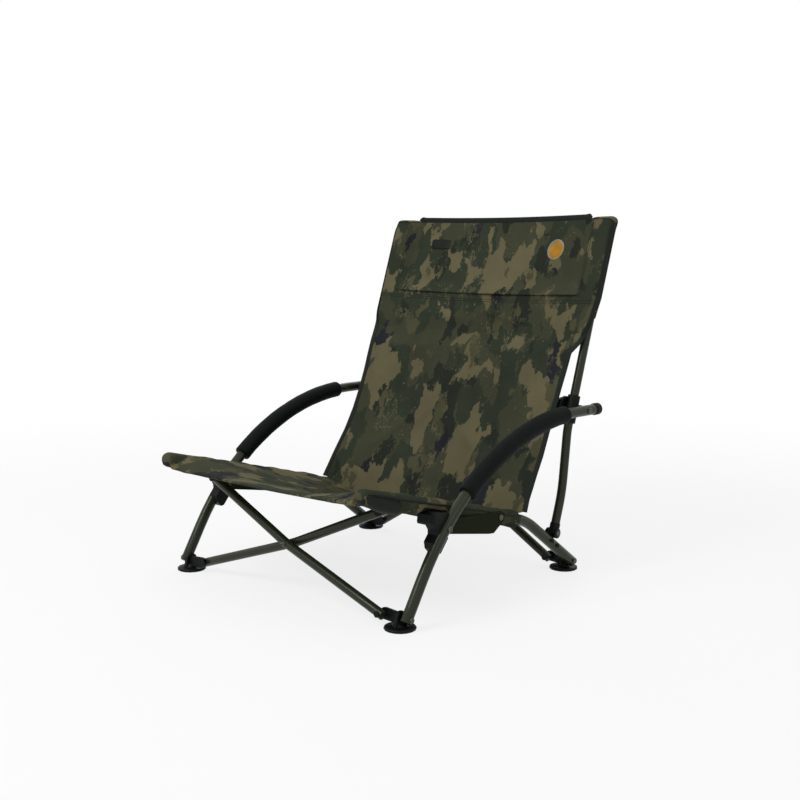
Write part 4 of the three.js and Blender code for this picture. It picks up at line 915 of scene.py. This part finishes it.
def cloth_piece(name, form, us, vs, body, node_name, cloth, start=0.0):
    """A sheet given its thickness on both sides, with the rim closed and flat places in millimetres as its UV map.
    The print starts at the given length, so that it runs on from one sheet to the next. Returns the flat size."""
    u, v = np.meshgrid(us, vs)
    points = form(u, v)
    flat = cloth_uv(points) + [0, start]
    half = cloth.thickness / MM / 2 * unit(np.cross(np.gradient(points, axis=1), np.gradient(points, axis=0)))
    rows, columns = u.shape
    layer = rows * columns
    faces = grid_faces(rows, columns, False)
    faces += [face[::-1] for face in grid_faces(rows, columns, False, layer)]
    rim = np.concatenate([np.arange(columns), np.arange(1, rows) * columns + columns - 1,
                          (rows - 1) * columns + np.arange(columns - 2, -1, -1),
                          np.arange(rows - 2, 0, -1) * columns])
    after = np.roll(rim, -1)
    faces += np.stack([rim, rim + layer, after + layer, after], -1).tolist()
    verts = place(np.concatenate([points + half, points - half]).reshape(-1, 3))
    piece = new_piece(name, (verts, faces), body, "camo", [node_name], 60,
                      np.vstack([flat.reshape(-1, 2)] * 2))
    return piece, (np.ptp(flat[..., 0]) * MM, np.ptp(flat[..., 1]) * MM)


def squeezed(*pieces):
    """Gives each cloth piece its own copy of its mesh."""
    for piece in pieces:
        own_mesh(piece)


def spread(*parts):
    """Even steps over several parts in a row, each given by its start, its stop and its count."""
    return np.unique(np.concatenate([np.linspace(a, b, n) for a, b, n in parts]).round(6))


class CHAIR_OT_seat(Operator):
    """Seat sling between the rails, with a near-black piped seam along their outsides: the real seam, and painted
    shade for the dark crease line beside it.
    """
    bl_idname = "chair.seat"
    bl_label = "Seat"

    def execute(self, context):
        side = spread((SPAN_SHARE, RAIL_SHARE, 23), (RAIL_SHARE, 1, 19))
        across = np.unique(np.concatenate([-side, spread((-SPAN_SHARE, SPAN_SHARE, 111)), side]))
        along = spread((0, NOSE_SHARE, 22), (NOSE_SHARE, 0.26, 41), (0.26, 1, 81))
        seat, flat = cloth_piece("seat_cloth", seat_form, across, along, "rail_left", "seat_panel",
                                 context.scene.chair_cloth)
        # the near-black seam tube is partly painted shade: the dark shadow line under the seat's edge along each rail
        seam_shade = new_piece("seat_seam_shade", together(seat_seam_shade(-1), seat_seam_shade(1)), "rail_left", "thread", [])
        squeezed(seat, seam_shade)
        return {"FINISHED"}


def seat_seam_shade(side):
    """Piped seam along a rail's outside, where the seat's side is sewn down, in small uneven pulls. It is a
    near-black tube that stands for the real seam and for painted shade, the dark shadow line of the crease under
    the seat's edge.
    """
    start, stop = NOSE_Y + 4, SLEEVE_END_Y + 6
    y = np.linspace(start, stop, 190)
    turn = np.radians(WELT_ANGLE + 3 + 2.5 * np.sin(y / 31) + 1.5 * np.sin(y / 13 + 1))
    reach = RAIL_WRAP + 1.3
    path = np.stack([side * (rail_x(y) + reach * np.sin(turn)), y, rail_z(y) + reach * np.cos(turn)], -1)
    ease = np.sqrt(np.clip(np.minimum(y - start, stop - y) / 6, 0.04, 1))
    return placed(skin(swept(path, ACROSS, 2.1 * ease, 10)))


TAPE_THICKNESS, TAPE_OUTSIDE = 3.0, 0.8
BINDING_END, BINDING_HEIGHT, BINDING_DEPTH = 0.745, 6.2, 2.5


def edge_tape(side, cloth):
    """Tape folded over a side edge of the back: a flat oval section, its outer rim a little past the cloth's edge."""
    v = np.linspace(0, 1, 160)
    path = back_form(np.full_like(v, side), v)
    inward = unit(back_form(np.full_like(v, side * 0.985), v) - path)
    up = unit(np.cross(unit(np.gradient(path, axis=0)), inward))
    half = cloth.binding_width / MM / 2
    t = circle(16)[:, None]
    centre = path + inward * (half - TAPE_OUTSIDE)
    return placed(skin(centre[:, None] + boxed(np.cos(t), 0.6) * half * inward[:, None]
                       + boxed(np.sin(t), 0.6) * TAPE_THICKNESS / 2 * up[:, None]))


def top_binding():
    """Dark binding that stands along the head's top edge between the two sleeves, with a small rise at both ends."""
    u = np.linspace(-BINDING_END, BINDING_END, 120)
    path = back_form(u, np.ones_like(u)) + [0, 1.6, 4.4]
    path[:, 2] += 1.6 * np.exp(-((np.abs(u) - BINDING_END + 0.015) / 0.02) ** 2)
    t = circle(16)[:, None]
    taper = np.sqrt(np.clip((BINDING_END - np.abs(u)) / 0.02, 0.05, 1))[:, None, None]
    tall, deep = boxed(np.sin(t), 0.7) * BINDING_HEIGHT * taper, boxed(np.cos(t), 0.7) * BINDING_DEPTH
    return placed(skin(path[:, None] + tall * [0, 0, 1.0] + deep * [0, 1.0, 0]))


def stitches(path, normal, cloth):
    """Stitches along a seam: one small capsule per stitch, laid on the cloth at the stitch pitch."""
    pitch, length = cloth.stitch_pitch / MM, cloth.stitch_length / MM
    middles = np.arange(pitch / 2, run_of(path)[-1], pitch)
    along = unit(at_run(path, middles + 0.5) - at_run(path, middles - 0.5))
    up = unit(at_run(path, middles, normal))
    base = at_run(path, middles) + 0.25 * up
    base, along, side, up = (a[:, None, None] for a in (base, along, np.cross(along, up), up))
    h = (np.array([-0.5, -0.3, 0.3, 0.5]) * length)[:, None, None]
    r, t = np.array([0.16, 0.42, 0.42, 0.16])[:, None, None], circle(6)[:, None]
    return placed(together(*map(skin, base + h * along + r * (np.cos(t) * side + np.sin(t) * up))))


class CHAIR_OT_back(Operator):
    """Back sling, its head part laid before the posts, with bound edges, double seams, a bare patch and a tab."""
    bl_idname = "chair.back"
    bl_label = "Back"

    def execute(self, context):
        cloth = context.scene.chair_cloth
        across = spread((-1, -0.9, 13), (-0.9, -0.7, 21), (-0.7, 0.7, 111), (0.7, 0.9, 21), (0.9, 1, 13))
        up = spread((0, 0.7, 121), (0.7, 0.76, 41), (0.76, 1, 51))
        back, flat = cloth_piece("back_cloth", back_form, across, up, "post_left", "back_panel", cloth, 430.0)
        hood, hood_flat = cloth_piece("hood_cloth", hood_form, across, spread((0, 0.7, 51), (0.7, 1, 25)),
                                      "post_left", "head_panel", cloth, 1100.0)
        bound = together(edge_tape(-1, cloth), edge_tape(1, cloth), top_binding())
        tape = new_piece("back_tape", bound, "post_left", "tape", [])
        us, vs = np.linspace(-0.97, 0.97, 240), np.linspace(0.72, 0.99, 90)
        seams = [(us, np.full_like(us, share)) for share in (0.709, 0.701)]
        seams += [(np.full_like(vs, share), vs) for share in (-0.8, -0.783, 0.783, 0.8)]
        lines = [stitches(*lifted(back_form, u, v, cloth.thickness / MM / 2), cloth) for u, v in seams]
        thread = new_piece("seam_thread", together(*lines), "post_left", "thread", [])
        marks = patch_and_tab(cloth)
        squeezed(back, hood, tape, thread, *marks)
        return {"FINISHED"}


PATCH_AT, TAB_AT, BACK_LENGTH = (0.495, 0.896), (-0.515, 0.915), 542


def sewn_on(name, at, outline, shares, heights, cloth, finish, surface=skin):
    """A flat piece on the back: its outline in millimetres round (u, v), drawn in by each share and lifted to each
    height above the cloth."""
    across, up = (np.array(shares)[:, None] * way for way in outline)
    lift = np.broadcast_to(np.array(heights)[:, None] + cloth.thickness / MM / 2, across.shape)
    edge_x = back_edge(np.array(at[1]))[0] - SLEEVE_RADIUS
    points, _ = lifted(back_form, at[0] + across / edge_x * TURN_SHARE, at[1] + up / BACK_LENGTH, lift)
    return new_piece(name, surface(place(points)), "post_left", finish, [])


def patch_and_tab(cloth):
    """A bare round patch with a raised rim, and a small plain tab, both sewn to the head part."""
    t, p = circle(48), circle(40) + np.pi / 40
    ring = (np.cos(t), np.sin(t))
    oblong = (boxed(np.cos(p), 0.25) * 22.5, boxed(np.sin(p), 0.25) * 10.0)
    return (sewn_on("patch_rim", PATCH_AT, ring, [20.0, 20.0, 19.2, 17.4, 17.0], [-0.2, 0.7, 1.25, 1.25, 0.7], cloth,
                    "patch_rim", surface=torus_skin),
            sewn_on("patch_face", PATCH_AT, ring, [17.1, 17.1, 16.2, 9.0, 3.0], [-0.2, 0.6, 0.95, 1.0, 1.0], cloth,
                    "patch"),
            sewn_on("label_tab", TAB_AT, oblong, [1.0, 1.0, 0.94, 0.5], [-0.2, 0.8, 1.2, 1.25], cloth, "label"))


POCKET_SIDES, POCKET_SAG, POCKET_BEFORE, POCKET_BEHIND = 48, 0.62, 7, 75


class CHAIR_OT_pockets(Operator):
    """Cloth pockets over the rail tips, and the webbing loops that hold the seat to the rails. A pocket is turned
    round the rail, puckered at its nose by a sine round it, and sags below by a power of how far down it faces."""
    bl_idname = "chair.pockets"
    bl_label = "Pockets and loops"

    def execute(self, context):
        down = unit(RAIL_CORNER - RAIL_TIP)
        nose, mouth = RAIL_TIP - down * POCKET_BEFORE * MM, RAIL_TIP + down * POCKET_BEHIND * MM
        run = np.linalg.norm(mouth - nose)
        wall = rounded([(0, 0), (9.5 * MM, 0), (12.4 * MM, 4 * MM), (12.6 * MM, run), (11.3 * MM, run),
                        (11.2 * MM, 3 * MM), (0, 1.6 * MM)], 1.6 * MM)
        s = run_of(wall)
        even = np.concatenate([s, np.arange(0, s[-1], 3 * MM)])
        profile = at_run(wall, np.unique(np.round(even, 6)))
        height = profile[:, 1]
        middle = (nose + np.outer(height, down))[:, None]
        radial = turned(nose, mouth, profile, POCKET_SIDES) - middle
        size = np.linalg.norm(radial, axis=-1)
        angle = circle(POCKET_SIDES)
        pucker = 0.35 * MM * np.sin(9 * angle) * np.exp(-height / (16 * MM))[:, None]
        outside = (np.arange(len(height)) < len(height) * 0.55)[:, None] & (size > 5 * MM)
        size = np.maximum(size, 1e-6)
        below = np.clip(-radial[..., 2] / size, 0, 1) ** 1.5
        scale = 1 + np.where(outside, pucker, 0) / size + POCKET_SAG * below * smooth(height / (0.7 * run))[:, None]
        surface = skin(middle + radial * scale[..., None])
        flat = np.column_stack([np.tile(angle * 12.5, len(height)), np.repeat(height / MM, POCKET_SIDES)])
        for side, sign in SIDES.items():
            piece = new_piece(f"tip_pocket_{side}_cloth", sided(surface, sign), f"rail_{side}",
                              "pocket", [f"tip_pocket_{side}"], 60, np.vstack([flat, np.zeros((2, 2))]))
            softened_copy(f"seat_loop_{side}", 0.4 * MM, "tape")
        return {"FINISHED"}


# Stage. Lamps: a place, a width and a power in watts.

LAMPS = {"key": ((-0.5, -2.1, 2.2), 1.1, 31), "fill": ((2.4, -0.4, 1.7), 1.0, 4), "top": ((0.1, 0.3, 2.9), 1.8, 9),
         "rear": ((-1.7, 1.8, 1.7), 1.2, 8)}
AIM = Vector((0, 0, 0.3))
FLOOR_RADIUS, FLOOR_RINGS, FLOOR_SIDES, AMBIENT = 4.0, 24, 96, 0.45


class CHAIR_OT_stage(Operator):
    """Pale floor, soft studio lamps, white surroundings and the camera at the photograph's angle."""
    bl_idname = "chair.stage"
    bl_label = "Stage"

    def execute(self, context):
        scene, stage = context.scene, context.scene.chair_stage
        scene.view_settings.view_transform = "Standard"
        camera = bpy.data.objects.new("camera", bpy.data.cameras.new("camera"))
        camera.data.sensor_width, camera.data.lens, camera.data.clip_end = 36, stage.lens, 50
        camera.location = Vector(stage.camera_at) + Vector((0, FRONT_Y, 0))
        camera.rotation_euler = (np.pi / 2 - stage.pitch, 0, stage.yaw)
        scene.camera = camera
        t, r = circle(FLOOR_SIDES), np.linspace(0.05, FLOOR_RADIUS, FLOOR_RINGS)[:, None]
        disc = np.stack([r * np.cos(t), r * np.sin(t), np.zeros((FLOOR_RINGS, FLOOR_SIDES))], -1)
        verts = np.vstack([disc.reshape(-1, 3), [0, 0, 0]])
        j = np.arange(FLOOR_SIDES)
        fan = np.stack([np.full(FLOOR_SIDES, len(verts) - 1), j, (j + 1) % FLOOR_SIDES], -1)
        mesh = bpy.data.meshes.new("floor")
        mesh.from_pydata(verts.tolist(), [], grid_faces(FLOOR_RINGS, FLOOR_SIDES, True) + fan.tolist())
        mesh.materials.append(floor_finish())
        floor = bpy.data.objects.new("floor", mesh)
        made = [camera, floor]
        for name, (at, size, power) in LAMPS.items():
            light = bpy.data.lights.new(name, "AREA")
            light.size, light.energy = size, power
            lamp = bpy.data.objects.new(name, light)
            lamp.location = at
            lamp.rotation_euler = (AIM - Vector(at)).to_track_quat("-Z", "Y").to_euler()
            made.append(lamp)
        for thing in made:
            scene.collection.objects.link(thing)
        scene.world = bpy.data.worlds.new("studio")
        scene.world.use_nodes = True
        tree = scene.world.node_tree
        light = tree.nodes["Background"]
        light.inputs["Color"].default_value = (1, 1, 1, 1)
        light.inputs["Strength"].default_value = AMBIENT
        white = node(tree, "ShaderNodeBackground", values={"Color": (1, 1, 1, 1), "Strength": 1.0})
        node(tree, "ShaderNodeMixShader", {"Fac": seen_rays(tree), 1: light, 2: white},
             tree.nodes["World Output"].inputs["Surface"])
        return {"FINISHED"}


def seen_rays(tree):
    """1 for rays from the camera, off glossy surfaces and through clear ones, and 0 for the light on the chair."""
    path = node(tree, "ShaderNodeLightPath").outputs
    two = node(tree, "ShaderNodeMath", {0: path["Is Camera Ray"], 1: path["Is Glossy Ray"]}, operation="ADD")
    return node(tree, "ShaderNodeMath", {0: two, 1: path["Is Transmission Ray"]}, operation="ADD", use_clamp=True)


def floor_finish():
    """Matt white studio floor that fades out 0.7 to 2.4 m from the chair, so that no horizon shows. Light shining
    through its surface, as on a lit table, keeps it white to the camera under a soft shadow."""
    material, tree, shader = new_material("matt_white_floor", Base_Color=(0.93, 0.93, 0.92, 1), Roughness=0.9,
                                          Specular_IOR_Level=0.2)
    share = node(tree, "ShaderNodeMath", {0: seen_rays(tree)}, operation="MULTIPLY", values={1: 0.8})
    white = node(tree, "ShaderNodeEmission", values={"Color": (1, 1, 1, 1), "Strength": 1.0})
    lit = node(tree, "ShaderNodeMixShader", {"Fac": share, 1: shader, 2: white})
    where = node(tree, "ShaderNodeTexCoord").outputs["Object"]
    far = node(tree, "ShaderNodeVectorMath", {0: where}, operation="LENGTH").outputs["Value"]
    fade = node(tree, "ShaderNodeMapRange", {"Value": far}, interpolation_type="SMOOTHSTEP",
                values={"From Min": 0.7, "From Max": 2.4, "To Min": 0.0, "To Max": 1.0})
    clear = node(tree, "ShaderNodeBsdfTransparent")
    node(tree, "ShaderNodeMixShader", {"Fac": fade, 1: lit, 2: clear},
         tree.nodes["Material Output"].inputs["Surface"])
    return material


class CHAIR_PT_panel(Panel):
    """Sizes, colours and operators of the chair, in the 3D view's sidebar."""
    bl_label = "Low sling chair"
    bl_space_type = "VIEW_3D"
    bl_region_type = "UI"
    bl_category = "Chair"

    def draw(self, context):
        for group in GROUPS:
            box = self.layout.box()
            settings = getattr(context.scene, group)
            for key in settings.__annotations__:
                box.prop(settings, key)
        for operator in OPERATORS:
            self.layout.operator(operator.bl_idname)


OPERATORS = (CHAIR_OT_stage, CHAIR_OT_tubes, CHAIR_OT_crossed_tubes, CHAIR_OT_grips, CHAIR_OT_fittings,
             CHAIR_OT_rivets, CHAIR_OT_seat, CHAIR_OT_back, CHAIR_OT_pockets)
GROUPS = {"chair_tubes": ChairTubeSettings, "chair_cloth": ChairClothSettings,
          "chair_colours": ChairColourSettings, "chair_stage": ChairStageSettings}
CLASSES = (*GROUPS.values(), *OPERATORS, CHAIR_PT_panel)


def register():
    for made_class in CLASSES:
        bpy.utils.register_class(made_class)
    for key, group in GROUPS.items():
        setattr(bpy.types.Scene, key, PointerProperty(type=group))


def unregister():
    for key in GROUPS:
        delattr(bpy.types.Scene, key)
    for made_class in reversed(CLASSES):
        bpy.utils.unregister_class(made_class)


def main():
    register()
    bpy.ops.chair.stage()
    bpy.ops.chair.tubes()
    bpy.ops.chair.crossed_tubes()
    bpy.ops.chair.grips()
    bpy.ops.chair.fittings()
    bpy.ops.chair.rivets()
    bpy.ops.chair.seat()
    bpy.ops.chair.back()
    bpy.ops.chair.pockets()


if __name__ == "__main__":
    main()
